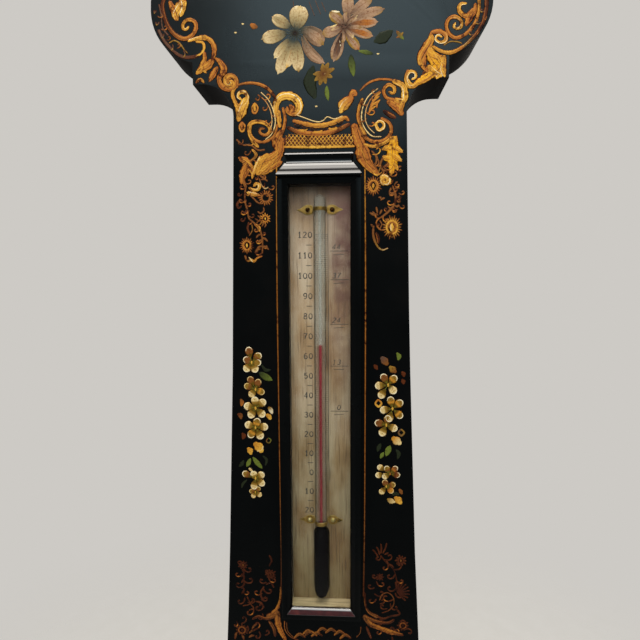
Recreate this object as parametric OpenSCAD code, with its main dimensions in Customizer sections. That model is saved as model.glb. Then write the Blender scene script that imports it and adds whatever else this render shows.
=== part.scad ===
// Banjo (mercury wheel) barometer with a boxed thermometer in the neck.
// Millimetres. Z is up, the painted face looks along -Y, the wall is the plane Y = 0.
// The origin is the centre of the hole in the hanger plate.

/* [Case] */
// Drop from the hanging hole to the centre of the dial
dial_drop = 799; // [785:1:830]
// Depth of the case from the wall to the painted face
case_depth = 32; // [31:0.5:36]
// Thickness of the painted face panel
face_t = 5; // [4.5:0.5:6]
// Width of the round body beyond the bezel
body_margin = 26; // [24:0.5:34]

/* [Head] */
// Greatest width of the head
head_w = 190; // [182:1:200]
// Radius of the dome on each side of the head
head_dome_r = 60; // [54:1:66]
// Radius of the hollow curve between dome and tip
head_ogee_r = 94; // [90:1:106]
// Radius of the rounded tip
head_tip_r = 18; // [16:0.5:22]
// Radius of the lower lobe of the head
head_lobe_r = 29; // [26:0.5:33]

/* [Neck] */
// Width of the neck under the head
neck_top_w = 98; // [94:0.5:104]
// Width of the neck above the body
neck_bottom_w = 132; // [124:1:140]
// Hollow of each side of the neck at its middle
neck_sag = 2.3; // [0:0.1:4]
// Radius of the coves at both ends of the neck
cove_r = 18; // [14:0.5:20]
// Flat of the shoulder beyond each cove
shoulder_flat = 5; // [3:0.5:7]
// Height of the small square step at each shoulder
shoulder_step = 12; // [8:0.5:14]

/* [Pendant end] */
// Width of the pendant
pendant_w = 96; // [92:1:104]
// Radius of the dome of the pendant
pendant_dome_r = 34; // [30:1:38]
// Radius of the hollow curve of the pendant
pendant_ogee_r = 40; // [36:1:50]
// Radius of the tip of the pendant
pendant_tip_r = 10; // [8:0.5:12]
// Radius of the coves above the pendant
pendant_cove_r = 12; // [10:0.5:16]

/* [Hanger] */
// Radius of the hanging hole
hanger_hole_r = 4.2; // [3.5:0.1:5]
// Radius of the eye of the hanger plate
hanger_eye_r = 10; // [9:0.5:11.5]
// Rise of the hanging hole above the top of the case
hanger_rise = 9; // [7:0.5:12]
// Thickness of the hanger plate
hanger_t = 2.5; // [2:0.1:3]
// Width of the tongue of the hanger plate
hanger_w = 16; // [13:0.5:18]
// Length of the tongue below the hanging hole
hanger_len = 60; // [54:1:70]

/* [Thermometer box] */
// Gap from the end of the head's cove to the top of the cornice
box_gap = 22.7; // [16:0.1:30]
// Height of the cornice
cornice_h = 13.6; // [12:0.1:17]
// Reach of the cornice beyond the frame at its widest
cornice_reach = 0.2; // [0:0.1:2]
// Width of the glazed opening
sight_w = 35; // [33:0.5:40]
// Height of the glazed opening
sight_len = 251; // [242:0.1:262]
// Width of the frame rails at the sides and foot
rail_w = 6; // [5.5:0.1:7]
// Width of the top rail below the cornice
top_rail_w = 3.3; // [3:0.1:5]
// Height of the frame above the painted face
frame_h = 9; // [8.5:0.1:11]
// Width of the inner bevel of the rails
bevel_w = 3; // [2:0.1:4]
// Drop of the inner bevel of the rails
bevel_drop = 2.5; // [1.5:0.1:2.8]
// Lip of the frame that holds the thermometer glass
lip_t = 1.2; // [0.8:0.1:1.5]
// Thickness of the thermometer glass
pane_t = 1.6; // [1.2:0.1:1.8]
// Thickness of the pale lining of the box
lining_t = 1.2; // [0.8:0.1:1.6]

/* [Thermometer] */
// Thickness of the scale plate
scale_t = 1.2; // [0.8:0.1:1.4]
// Radius of the glass tube
stem_r = 3.2; // [2.6:0.1:3.4]
// Radius of the bore of the tube
stem_bore_r = 0.8; // [0.5:0.1:1.2]
// Radius of the bulb
bulb_r = 4.2; // [3.9:0.1:4.5]
// Wall of the bulb
bulb_wall = 0.8; // [0.6:0.1:1.2]
// Length of the bulb
bulb_len = 45; // [36:1:50]
// Drop from the top of the opening to the top of the tube
stem_drop = 4.7; // [0.5:0.1:7]
// Gap between the tip of the bulb and the foot of the opening
bulb_gap = 2.3; // [1.5:0.1:8]
// Width of the slot in the plate behind the bulb
slot_w = 9.7; // [9.4:0.1:11]
// Drop from the top of the opening to the upper strap
strap_drop_top = 13; // [11:0.1:15]
// Rise from the bulb to the lower strap
strap_rise = 3.6; // [3.4:0.1:12]
// Drop from the top of the opening to the 120 degree line
scale_drop = 27.2; // [24:0.1:31]
// Gap between the bulb and the lowest line of the scale, 20 degrees below zero
scale_gap = 9.48; // [9:0.01:14]
// Temperature shown, in degrees Fahrenheit
temperature = 66; // [0:1:110]
// Thickness of the straps
strap_t = 0.6; // [0.4:0.05:0.7]
// Height of the straps
strap_h = 6.2; // [5:0.1:6.4]
// Length of each wing of the straps beyond the tube
strap_wing = 10.3; // [9:0.1:11]
// Radius of the strap pins
pin_r = 0.7; // [0.5:0.05:0.9]
// Radius of the heads of the strap pins
pin_head_r = 1.4; // [1.1:0.1:1.6]

/* [Dial] */
// Width of the bezel beyond the edge of the dial plate
dial_margin = 10; // [8:0.5:12]
// Thickness of the dial plate
dial_t = 1.5; // [1:0.1:2]
// Outer radius of the bezel
bezel_r = 114; // [111:0.5:117]
// Width of the bezel
bezel_band = 18; // [17:0.5:20]
// Height of the bezel
bezel_h = 9; // [8.5:0.1:11]
// Wall of the hollow bezel
bezel_wall = 2; // [1.5:0.1:2.5]
// Thickness of the convex glass
glass_t = 2; // [1.5:0.1:2.2]
// Rise of the convex glass
glass_rise = 12; // [8:0.5:16]
// Gap between the point of the indicator hand and the bezel
hand_gap = 16; // [8:1:24]
// Half width of the indicator hand at its boss
hand_w = 1.7; // [1.4:0.1:2]
// Length of the tail of the indicator hand
hand_tail = 20; // [16:1:24]
// Radius of the ring on the tail of the indicator hand
hand_ring_r = 6; // [5:0.5:7]
// Gap between the point of the set hand and the bezel
set_hand_gap = 26; // [16:1:34]
// Half width of the set hand at its boss
set_hand_w = 1.5; // [1.2:0.1:1.8]
// Length of the tail of the set hand
set_hand_tail = 16; // [12:1:20]
// Radius of the ring on the tail of the set hand
set_hand_ring_r = 5; // [4:0.5:6]
// Thickness of both hands
hand_t = 0.8; // [0.5:0.1:1]
// Pressure shown, in inches of mercury
reading = 29.8; // [28.4:0.05:30.6]
// Pressure marked by the set hand, in inches of mercury
set_reading = 29.2; // [28.4:0.05:30.6]

/* [Bezel hinge and catch] */
// Radius of the bezel hinge barrel
barrel_r = 2.2; // [1.9:0.1:2.4]
// Radius of the bezel hinge pin
barrel_pin_r = 1.1; // [0.8:0.1:1.3]
// Length of the whole hinge barrel
barrel_len = 30; // [24:1:40]
// Width of the hinge plate on the face panel
hinge_plate_w = 13; // [11:0.5:14]
// Radius of the catch peg
peg_r = 1.5; // [1.2:0.1:2]

/* [Movement] */
// Degrees the hand turns for an inch of mercury
degrees_per_inch = 100; // [90:1:110]
// Radius of the arbor
arbor_r = 1.3; // [1.1:0.1:1.5]
// Width of the pulley
pulley_w = 4; // [3.5:0.1:4.4]
// Height of the pulley flanges above the thread
pulley_flange = 2; // [1.5:0.1:2.4]
// Radius of the silk thread
thread_r = 0.25; // [0.15:0.05:0.35]
// Thickness of the arm of the arbor cock
cock_t = 1.6; // [1.2:0.1:1.7]
// Width of the arbor cock
cock_w = 12; // [10:0.5:14]
// Height of the pillar of the cock above the arbor
cock_rise = 15; // [13:0.5:18]
// Radius of the float
float_r = 2.4; // [2:0.1:2.6]
// Length of the float
float_len = 22; // [16:1:28]
// Radius of the counterweight
counter_r = 2; // [1.6:0.1:2.4]
// Length of the counterweight
counter_len = 16; // [12:1:22]
// Outer radius of the counterweight tube
guide_r = 4.5; // [4:0.1:5]
// Wall of the counterweight tube
guide_wall = 1.4; // [1:0.1:1.5]
// Drop from the dial centre to the lower end of the counterweight tube
guide_drop = 130; // [125:1:140]

/* [Setting gear] */
// Pitch radius of the bevel wheels
gear_r = 4.9; // [4.5:0.1:5]
// Number of teeth of the bevel wheels, an even number
gear_teeth = 14; // [12:2:16]
// Face width of the bevel wheels
gear_face = 1.8; // [1.4:0.1:1.9]
// Radius of the setting rod
rod_r = 1.25; // [1:0.05:1.4]
// Wall of the pipe of the set hand
pipe_wall = 0.7; // [0.5:0.1:0.8]
// Gap between the edge of the bezel and the centre of the setting key
key_gap = 14; // [12:0.5:16]
// Radius of the key shaft
key_r = 2; // [1.6:0.1:2.2]
// Radius of the key knob
knob_r = 7; // [5:0.5:9]
// Length of the key knob
knob_len = 13; // [10:0.5:18]
// Radius of the flange of the key bush
bush_r = 6.5; // [5.5:0.5:8]

/* [Siphon tube] */
// Outer diameter of the siphon tube
siphon_od = 10; // [9:0.1:10.4]
// Bore of the siphon tube
siphon_bore = 6; // [5.8:0.1:6.8]
// Distance between the two limbs
limb_gap = 28; // [26.5:0.5:30]
// Drop from the dial centre to the middle of the bend
bend_drop = 165; // [158:1:170]
// Drop from the dial centre to the open end of the short limb
open_drop = 30; // [28:1:40]
// Rise from the dial centre to the top of the long limb
siphon_rise = 700; // [685:1:705]
// Drop from the dial centre to the mercury in the short limb at mid scale
mercury_drop = 105; // [100:1:110]
// Height of the cork blocks
cork_h = 14; // [10:1:18]

/* [Back] */
// Lap of the movement door on the edge of the well
door_lap = 5; // [4:0.5:8]
// Width of the ledge that carries the dial plate
well_margin = 12; // [12:0.5:16]
// Thickness of the door and of the tube covers
cover_t = 4; // [3.5:0.1:4.5]
// Width of the ledge under the tube covers
ledge_w = 4; // [3:0.1:5]
// Length of the door hinge
leaf_len = 44; // [36:1:52]
// Width of each leaf of the door hinge
leaf_w = 13; // [11:0.5:16]
// Thickness of the leaves
leaf_t = 1; // [0.8:0.1:1.3]
// Radius of the barrel of the door hinge
knuckle_r = 1.6; // [1.4:0.1:2]
// Radius of the pin of the door hinge
knuckle_pin_r = 0.8; // [0.6:0.05:0.9]
// Length of the turn button
button_len = 22; // [20:1:26]
// Width of the turn button
button_w = 8; // [6.5:0.5:9]
// Thickness of the turn button
button_t = 1.6; // [1.2:0.1:2]

/* [Screws and clearances] */
// Radius of the wood screws
screw_r = 1.3; // [1:0.1:1.4]
// Radius of the heads of the wood screws
screw_head_r = 2.6; // [2.2:0.1:2.9]
// Length of the wood screws in the wood
screw_len = 9; // [6:0.5:11]
// Clearance of a piece let into wood
let_in = 0.2; // [0.1:0.05:0.3]
// Running clearance on a radius
run = 0.05; // [0.03:0.01:0.08]
// Clearance of a seat on a radius
seat = 0.02; // [0.01:0.01:0.03]
// Clearance between parts that pass each other
pass = 0.3; // [0.25:0.05:0.4]

/* [Hidden] */
$fn = 64;
eps = 0.01;

// Depths are measured from the wall towards the front
core_t = case_depth - face_t;
face_d = case_depth;
dial_face_d = core_t + dial_t;
scale_face_d = core_t + scale_t;
tube_gap = 0.5;
tube_d = cover_t + tube_gap + siphon_od / 2;
tube_front_d = tube_d + siphon_od / 2;
trough_d = tube_front_d + 1.5;
gear_d = (tube_front_d + core_t) / 2;
stem_d = scale_face_d + 0.1 + stem_r;

// Radii about the dial centre
body_r = bezel_r + body_margin;
dial_r = bezel_r - dial_margin;
bezel_sight_r = bezel_r - bezel_band;
hand_len = bezel_sight_r - hand_gap;
set_hand_len = bezel_sight_r - set_hand_gap;
well_r = dial_r - well_margin;
door_r = well_r + door_lap;

// Heights
z_dial = -dial_drop;
case_top = -hanger_rise;
z_head_tip = case_top - head_tip_r;
z_lobe = z_head_tip - onion_drop(head_w / 2, head_dome_r, head_ogee_r, head_tip_r);
shoulder_x = neck_top_w / 2 + cove_r + shoulder_flat;
lobe_x = head_w / 2 - head_lobe_r;
lobe_a = acos((shoulder_x - lobe_x) / head_lobe_r);
z_shoulder = z_lobe - head_lobe_r * sin(lobe_a) - shoulder_step;
z_neck_top = z_shoulder - cove_r;
foot_x = neck_bottom_w / 2 + cove_r + shoulder_flat;
z_foot = z_dial + sqrt(body_r * body_r - foot_x * foot_x) + shoulder_step;
z_neck_low = z_foot + cove_r;
pendant_x = pendant_w / 2 + pendant_cove_r + shoulder_flat;
z_pendant = z_dial - sqrt(body_r * body_r - pendant_x * pendant_x) - shoulder_step;
z_pendant_dome = z_pendant - pendant_cove_r;
z_pendant_tip = z_pendant_dome - onion_drop(pendant_w / 2, pendant_dome_r, pendant_ogee_r, pendant_tip_r);

// Thermometer box
box_w = sight_w + 2 * rail_w;
z_cornice_top = z_neck_top - box_gap;
z_frame_top = z_cornice_top - cornice_h;
z_sight = z_frame_top - top_rail_w;
z_sight_low = z_sight - sight_len;
z_frame_low = z_sight_low - rail_w;
sight_d = face_d + frame_h - bevel_drop;
pane_front_d = sight_d - lip_t;
pane_back_d = pane_front_d - pane_t;
pane_w = sight_w + 3;
pane_len = sight_len + 3;
window_w = pane_w + 2 * let_in;
window_len = pane_len + 2 * let_in;
z_mid = z_sight - sight_len / 2;
z_stem_top = z_sight - stem_drop;
z_bulb = z_sight_low + bulb_gap + bulb_len;
z_straps = [z_sight - strap_drop_top, z_bulb + strap_rise];
division_len = (z_sight - scale_drop - z_bulb - scale_gap) / 14;
z_spirit = z_sight - scale_drop - (120 - temperature) / 10 * division_len;
pin_x = stem_r + strap_t + 0.34 * (strap_wing - strap_t);

// Movement
pulley_r = 25.4 / 2 / (degrees_per_inch * PI / 180);
pulley_out_r = pulley_r + pulley_flange;
mid_reading = 29.5;
hand_a = (reading - mid_reading) * degrees_per_inch;
set_a = (set_reading - mid_reading) * degrees_per_inch;
fall = (reading - mid_reading) * 25.4 / 2;
short_x = pulley_r;
long_x = pulley_r - limb_gap;
bend_x = (short_x + long_x) / 2;
z_bend = z_dial - bend_drop;
bend_swell = 0.06;
limb_socket = 1;
z_open = z_dial - open_drop;
z_siphon_top = z_dial + siphon_rise;
z_short = z_dial - mercury_drop - fall;
z_long = z_short + reading * 25.4;
z_float = z_short + pass;
z_counter = z_dial - mercury_drop + 5 + fall;
z_thread = z_dial - 3.4;
pipe_r = arbor_r + run + pipe_wall;
gear_add = 0.1 * gear_r;
gear_out_r = gear_r + gear_add;
gear_back_d = gear_d + gear_r;
gear_small_d = gear_back_d - gear_face;
z_key = z_dial - bezel_r - key_gap;
set_hand_d = dial_face_d + 2;
hand_d = set_hand_d + 2.6;
hand_boss_r = pipe_r + 1.6;
cock_back_d = cover_t + 1.2;
hub_len = 1;

// Bezel and glass, heights above the painted face
bezel_foot = pass;
glass_r = bezel_sight_r + 3.5;
glass_rho = (glass_r * glass_r + glass_rise * glass_rise) / (2 * glass_rise);
lip_rise = sqrt(glass_rho * glass_rho - bezel_sight_r * bezel_sight_r) - glass_rho + glass_rise;
lip_h = bezel_h - 2.6;
rim_h = lip_h - lip_rise - 0.1;
barrel_x = -(bezel_r + barrel_r + 0.5);
barrel_d = face_d + barrel_r + 0.1;
peg_x = bezel_r - bezel_wall - peg_r - 2;
boss_r = peg_r + 1.6;

// Back
rabbet_r = door_r + let_in + 0.2;
axis_x = -(door_r + knuckle_r);
axis_d = knuckle_r - leaf_t;
land = 3;
trough_w = siphon_od + 5;
z_cover_low = z_dial + rabbet_r + land;
z_trough_top = z_siphon_top + 4;
z_cover_top = z_trough_top + ledge_w;
z_lower_top = z_dial - rabbet_r - land;
lower_r = limb_gap / 2 + trough_w / 2;
button_x = door_r + button_w / 2 + 5;
cork_z = [for (part = [0.26, 0.6, 0.94]) z_dial + part * siphon_rise];
z_cork_low = z_lower_top - cork_h + 2.4;

function onion_drop(half_w, dome_r, ogee_r, tip_r) =
  sqrt(pow(ogee_r + dome_r, 2) - pow(tip_r + ogee_r - half_w + dome_r, 2));
function onion_a(half_w, dome_r, ogee_r, tip_r) =
  acos((tip_r + ogee_r - half_w + dome_r) / (ogee_r + dome_r));
function arc(c, r, a0, a1, n) = [for (i = [0:n]) c + r * [cos(a0 + (a1 - a0) * i / n), sin(a0 + (a1 - a0) * i / n)]];
function clean(p) = [for (i = [0:len(p) - 1]) if (i == 0 || norm(p[i] - p[max(i - 1, 0)]) > 0.02) p[i]];

head_a = onion_a(head_w / 2, head_dome_r, head_ogee_r, head_tip_r);
pendant_a = onion_a(pendant_w / 2, pendant_dome_r, pendant_ogee_r, pendant_tip_r);
neck_steps = 12;

// Right half of the case outline, from the tip of the head down to the tip of the pendant
half_outline = clean(concat(
  arc([0, z_head_tip], head_tip_r, 90, 0, 12),
  arc([head_tip_r + head_ogee_r, z_head_tip], head_ogee_r, 180, 180 + head_a, 16),
  arc([head_w / 2 - head_dome_r, z_lobe], head_dome_r, head_a, 0, 12),
  arc([lobe_x, z_lobe], head_lobe_r, 0, -lobe_a, 12),
  [[shoulder_x, z_shoulder]],
  arc([neck_top_w / 2 + cove_r, z_neck_top], cove_r, 90, 180, 12),
  [for (i = [1:neck_steps - 1]) let (t = i / neck_steps)
    [neck_top_w / 2 + (neck_bottom_w - neck_top_w) / 2 * t - 4 * neck_sag * t * (1 - t),
     z_neck_top + (z_neck_low - z_neck_top) * t]],
  arc([neck_bottom_w / 2 + cove_r, z_neck_low], cove_r, 180, 270, 12),
  [[foot_x, z_foot]],
  arc([0, z_dial], body_r, acos(foot_x / body_r), -acos(pendant_x / body_r), 40),
  [[pendant_x, z_pendant]],
  arc([pendant_w / 2 + pendant_cove_r, z_pendant_dome], pendant_cove_r, 90, 180, 10),
  arc([pendant_w / 2 - pendant_dome_r, z_pendant_dome], pendant_dome_r, 0, -pendant_a, 12),
  arc([pendant_tip_r + pendant_ogee_r, z_pendant_tip], pendant_ogee_r, 180 - pendant_a, 180, 12),
  arc([0, z_pendant_tip], pendant_tip_r, 0, -90, 10)
));
outline = concat(half_outline, [for (i = [len(half_outline) - 2:-1:1]) [-half_outline[i][0], half_outline[i][1]]]);

// A plate parallel to the wall: back face at depth d, thickness t
module plate(d, t) translate([0, -d, 0]) rotate([90, 0, 0]) linear_extrude(t) children();
// A round bar square to the wall, between two depths
module post(r, d0, d1) translate([0, -d0, 0]) rotate([90, 0, 0]) cylinder(r = r, h = d1 - d0);
// A turned shape about an axis square to the wall, heights counted from depth d
module turned(d) translate([0, -d, 0]) rotate([90, 0, 0]) rotate_extrude() children();
// A block between two x, two depths and two heights
module block(x0, x1, d0, d1, z0, z1) translate([x0, -d1, z0]) cube([x1 - x0, d1 - d0, z1 - z0]);
// A bar along x of a section drawn in (-depth, height)
module along_x(w) translate([-w / 2, 0, 0]) rotate([90, 0, 90]) linear_extrude(w) children();
// A countersunk screw driven from a face at depth 0 into the wood, seen from the wall side
module back_screw(sink) {
  post(screw_r, sink, sink + screw_len);
  translate([0, -sink, 0]) rotate([90, 0, 0]) cylinder(r1 = screw_head_r, r2 = screw_r, h = screw_head_r - screw_r);
}
// The hole that such a screw leaves
module back_screw_hole(sink) {
  post(screw_r + seat, sink - eps, sink + screw_len + 0.5);
  translate([0, -sink, 0]) rotate([90, 0, 0])
    cylinder(r1 = screw_head_r + seat, r2 = screw_r + seat, h = screw_head_r - screw_r);
  post(screw_head_r + seat, sink - 1, sink + eps / 2);
}
// A round-headed screw driven from the front, head seated at depth d
module front_screw(d, r, head_r, len) {
  post(r, d - len, d + eps);
  turned(d) polygon(concat([[0, 0], [head_r, 0]], arc([0, 0.2], head_r, 0, 90, 8) * [[1, 0], [0, 0.6]]));
}

hanger_screw_z = [-hanger_rise - 10, -hanger_rise - 27, -hanger_len + 6];
dial_screw_a = [45, 135, 225, 315];
dial_screw_c = (dial_r + glass_r) / 2 - 1;
hinge_screw_z = [-barrel_len / 2 + 5, barrel_len / 2 - 5];
hinge_screw_x = barrel_x - barrel_r - hinge_plate_w / 2 + 1;
leaf_screw_z = [-leaf_len / 2 + 8, leaf_len / 2 - 8];
leaf_screw_x = knuckle_r + (leaf_w - knuckle_r) / 2 + 0.5;
upper_screw_z = [z_cover_low + 12, z_cover_low + (z_cover_top - z_cover_low) / 3,
  z_cover_low + (z_cover_top - z_cover_low) * 2 / 3, z_cover_top - 12];
cover_screw_x = trough_w / 2 + ledge_w / 2;

module lower_shape(extra, top) {
  translate([bend_x - lower_r - extra, z_bend]) square([2 * (lower_r + extra), top - z_bend]);
  translate([bend_x, z_bend]) circle(lower_r + extra, $fn = 96);
}
module cover_holes() {
  for (z = upper_screw_z, s = [-1, 1])
    translate([long_x + s * cover_screw_x, 0, z]) children();
  for (s = [-1, 1], z = [z_lower_top - 8, z_bend])
    translate([bend_x + s * (lower_r + ledge_w / 2), 0, z]) children();
}

module carcass() color([0.16, 0.09, 0.05]) difference() {
  plate(0, core_t) polygon(outline);
  translate([0, 0, z_dial]) {
    post(well_r, -1, core_t + 1);
    post(rabbet_r, -1, cover_t);
    for (a = dial_screw_a)
      translate([dial_screw_c * cos(a), 0, dial_screw_c * sin(a)]) post(screw_r + seat, core_t - screw_len, core_t + 1);
    block(axis_x - leaf_w - let_in, axis_x + leaf_w + let_in, -1, leaf_t,
      -leaf_len / 2 - let_in, leaf_len / 2 + let_in);
    for (z = leaf_screw_z)
      translate([axis_x - leaf_screw_x, 0, z]) back_screw_hole(0);
    for (s = hinge_screw_z)
      translate([hinge_screw_x, 0, s]) post(screw_r + seat, core_t - 6, core_t + 1);
    translate([peg_x, 0, 0]) post(peg_r + pass, core_t - 3, core_t + 1);
    translate([button_x, 0, 0]) post(screw_r + seat, -1, screw_len + 0.5);
  }
  block(long_x - trough_w / 2, long_x + trough_w / 2, -1, trough_d, z_dial, z_trough_top);
  block(long_x - trough_w / 2 - ledge_w - let_in, long_x + trough_w / 2 + ledge_w + let_in, -1, cover_t,
    z_cover_low - let_in, z_cover_top + let_in);
  plate(-1, trough_d + 1) lower_shape(0, z_dial);
  plate(-1, cover_t + 1) lower_shape(ledge_w + let_in, z_lower_top + let_in);
  block(-gear_out_r - 1.5, gear_out_r + 1.5, -1, core_t + 1, z_key - gear_out_r - 1.5, z_dial);
  plate(-1, hanger_t + 1) hanger_shape(let_in);
  for (z = hanger_screw_z) translate([0, 0, z]) back_screw_hole(0);
  cover_holes() back_screw_hole(0);
}

module face_panel() color([0.03, 0.03, 0.035]) difference() {
  plate(core_t, face_t) polygon(outline);
  translate([0, 0, z_dial]) {
    post(dial_r + let_in, core_t - 1, face_d + 1);
    translate([peg_x, 0, 0]) post(peg_r + pass, core_t - 1, face_d + 1);
    for (s = hinge_screw_z) translate([hinge_screw_x, 0, s]) post(screw_r + seat, core_t - 1, face_d + 1);
  }
  translate([0, 0, z_key]) post(bush_r - 2 + seat, core_t - 1, face_d + 1);
  block(-window_w / 2, window_w / 2, core_t - 1, face_d + 1, z_mid - window_len / 2, z_mid + window_len / 2);
}

module hanger_shape(extra) {
  circle(hanger_eye_r + extra);
  translate([-hanger_w / 2 - extra, -hanger_len - extra]) square([hanger_w + 2 * extra, hanger_len + 2 * extra]);
}
module hanger_plate() color([0.72, 0.55, 0.25]) difference() {
  plate(0, hanger_t) hanger_shape(0);
  post(hanger_hole_r, -1, hanger_t + 1);
  for (z = hanger_screw_z) translate([0, 0, z]) back_screw_hole(0);
}
module hanger_screws() color([0.65, 0.5, 0.25])
  for (z = hanger_screw_z) translate([0, 0, z]) back_screw(0);

module thermometer_frame() color([0.03, 0.03, 0.035]) difference() {
  block(-box_w / 2, box_w / 2, face_d, face_d + frame_h, z_frame_low, z_frame_top);
  block(-sight_w / 2, sight_w / 2, face_d - 1, face_d + frame_h + 1, z_sight_low, z_sight);
  block(-window_w / 2, window_w / 2, face_d - 1, pane_front_d, z_mid - window_len / 2, z_mid + window_len / 2);
  intersection() {
    translate([0, 0, z_frame_low]) linear_extrude(z_frame_top - z_frame_low)
      polygon([[-sight_w / 2, -sight_d], [sight_w / 2, -sight_d],
        [sight_w / 2 + 2 * bevel_w, -sight_d - 2 * bevel_drop], [-sight_w / 2 - 2 * bevel_w, -sight_d - 2 * bevel_drop]]);
    along_x(box_w) polygon([[-sight_d, z_sight_low], [-sight_d, z_sight],
      [-sight_d - 2 * bevel_drop, z_sight + 2 * bevel_w], [-sight_d - 2 * bevel_drop, z_sight_low - 2 * bevel_w]]);
  }
}

// Reach and height of the cornice moulding: weathered lip, quirk, two slopes, cove and leaning top fillet
moulding = concat(
  [[4.4, 0]],
  arc([5, 0.5], 0.5, -90, 0, 3),
  [[6.0, 0.9], [4.7, 3.1], [4.4, 3.2], [4.3, 3.6], [3.0, 5.4], [2.8, 5.8], [1.3, 8.0], [0.7, 8.2]],
  [[0.4, 8.9], [0.4, 10.3], [0.8, 11.5], [1.5, 12.2]],
  [[1.6, 12.5], [0.8, 13.6]]
);
moulding_out = 6.0;
moulding_h = 13.6;
module thermometer_cornice() color([0.03, 0.03, 0.035]) intersection() {
  plate(face_d, frame_h + 10) polygon(concat(
    [for (p = moulding) [box_w / 2 + cornice_reach - moulding_out + p[0], z_frame_top + p[1] * cornice_h / moulding_h]],
    [for (i = [len(moulding) - 1:-1:0]) let (p = moulding[i])
      [-box_w / 2 - cornice_reach + moulding_out - p[0], z_frame_top + p[1] * cornice_h / moulding_h]]));
  along_x(box_w + 20) polygon(concat(
    [for (p = moulding) [-face_d - frame_h + 2.5 - p[0], z_frame_top + p[1] * cornice_h / moulding_h]],
    [[-face_d, z_cornice_top], [-face_d, z_frame_top]]));
}

module thermometer_pane() color([0.85, 0.92, 0.95, 0.35])
  block(-pane_w / 2, pane_w / 2, pane_back_d, pane_front_d, z_mid - pane_len / 2, z_mid + pane_len / 2);

module thermometer_lining() color([0.86, 0.8, 0.66]) difference() {
  block(-pane_w / 2, pane_w / 2, scale_face_d, pane_back_d, z_mid - pane_len / 2, z_mid + pane_len / 2);
  block(-pane_w / 2 + lining_t, pane_w / 2 - lining_t, scale_face_d - 1, pane_back_d + 1,
    z_mid - pane_len / 2 + lining_t, z_mid + pane_len / 2 - lining_t);
}

module scale_plate() color([0.72, 0.7, 0.64]) difference() {
  block(-pane_w / 2, pane_w / 2, core_t, scale_face_d, z_mid - pane_len / 2, z_mid + pane_len / 2);
  plate(core_t - 1, scale_t + 2) {
    translate([0, z_bulb - slot_w / 2]) circle(slot_w / 2);
    polygon([[-slot_w / 2, z_bulb - slot_w / 2], [slot_w / 2, z_bulb - slot_w / 2],
      [slot_w / 2, z_bulb - bulb_len + 4.4], [slot_w * 0.36, z_bulb - bulb_len + 1.4], [1, z_bulb - bulb_len - 0.8],
      [-1, z_bulb - bulb_len - 0.8], [-slot_w * 0.36, z_bulb - bulb_len + 1.4], [-slot_w / 2, z_bulb - bulb_len + 4.4]]);
  }
  for (z = z_straps, s = [-1, 1]) translate([s * pin_x, 0, z]) post(pin_r + seat, core_t - 1, scale_face_d + 1);
}

// Section of the tube and bulb; shrink gives the inside, top the height it is filled to
module stem_section(bore, bulb, top, tip) polygon(clean(concat(
  [[0, z_bulb - bulb_len + tip], [bulb * 0.35, z_bulb - bulb_len + tip + 0.6]],
  [[bulb * 0.78, z_bulb - bulb_len + tip + 2.4], [bulb, z_bulb - bulb_len + tip + 5]],
  arc([0, z_bulb - bulb - 1], bulb, 0, acos(bore / bulb), 8),
  [[bore, top], [0, top]])));
module thermometer_tube() color([0.9, 0.92, 0.92, 0.5]) translate([0, -stem_d, 0]) difference() {
  union() {
    rotate_extrude() stem_section(stem_r, bulb_r, z_stem_top - stem_r, 0);
    translate([0, 0, z_stem_top - stem_r]) sphere(stem_r);
  }
  rotate_extrude() stem_section(stem_bore_r, bulb_r - bulb_wall, z_stem_top - 2 * stem_r, bulb_wall + 0.6);
}
module thermometer_spirit() color([0.6, 0.04, 0.1]) translate([0, -stem_d, 0])
  rotate_extrude() stem_section(stem_bore_r - run, bulb_r - bulb_wall - run, z_spirit, bulb_wall + 0.75);

// Reach and share of the height along the upper edge of one wing of a strap, from its tip to the tube
wing = [[stem_r + strap_wing - 1.1, 0.08], [stem_r + strap_wing - 2.4, 0.16], [pin_x + 2.2, 0.34], [pin_x + 1.2, 0.43],
  [pin_x, 0.46], [stem_r + 1.9, 0.42], [stem_r + 0.9, 0.3], [stem_r + 0.9, 0.18]];
module tube_straps() color([0.75, 0.6, 0.3]) for (z = z_straps) difference() {
  intersection() {
    translate([0, 0, z - strap_h / 2]) linear_extrude(strap_h) difference() {
      union() {
        translate([0, -stem_d]) circle(stem_r + 0.1 + strap_t);
        translate([-stem_r - 0.1 - strap_t, -stem_d])
          square([2 * (stem_r + 0.1 + strap_t), stem_d - scale_face_d]);
        translate([-stem_r - strap_wing, -scale_face_d - strap_t]) square([2 * (stem_r + strap_wing), strap_t]);
      }
      translate([0, -stem_d]) circle(stem_r + 0.1);
      translate([-stem_r - 0.1, -stem_d]) square([2 * (stem_r + 0.1), stem_d - scale_face_d]);
      translate([-20, -scale_face_d]) square([40, 10]);
    }
    plate(scale_face_d - 1, 20) translate([0, z]) polygon([for (s = [1, -1], p = concat(
      [[stem_r + strap_wing, 0]], [for (w = wing) [w[0], w[1] * strap_h]],
      [for (i = [len(wing) - 1:-1:0]) [-wing[i][0], wing[i][1] * strap_h]])) s * p]);
  }
  for (s = [-1, 1]) translate([s * pin_x, 0, z]) post(pin_r + seat, core_t - 1, scale_face_d + 3);
}
module strap_pins() color([0.7, 0.55, 0.28]) for (z = z_straps, s = [-1, 1]) translate([s * pin_x, 0, z]) {
  post(pin_r, core_t + 0.1, scale_face_d + strap_t + eps);
  turned(scale_face_d + strap_t)
    polygon(concat([[0, 0]], arc([0, 0], pin_head_r, 0, 90, 8)));
}

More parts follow.
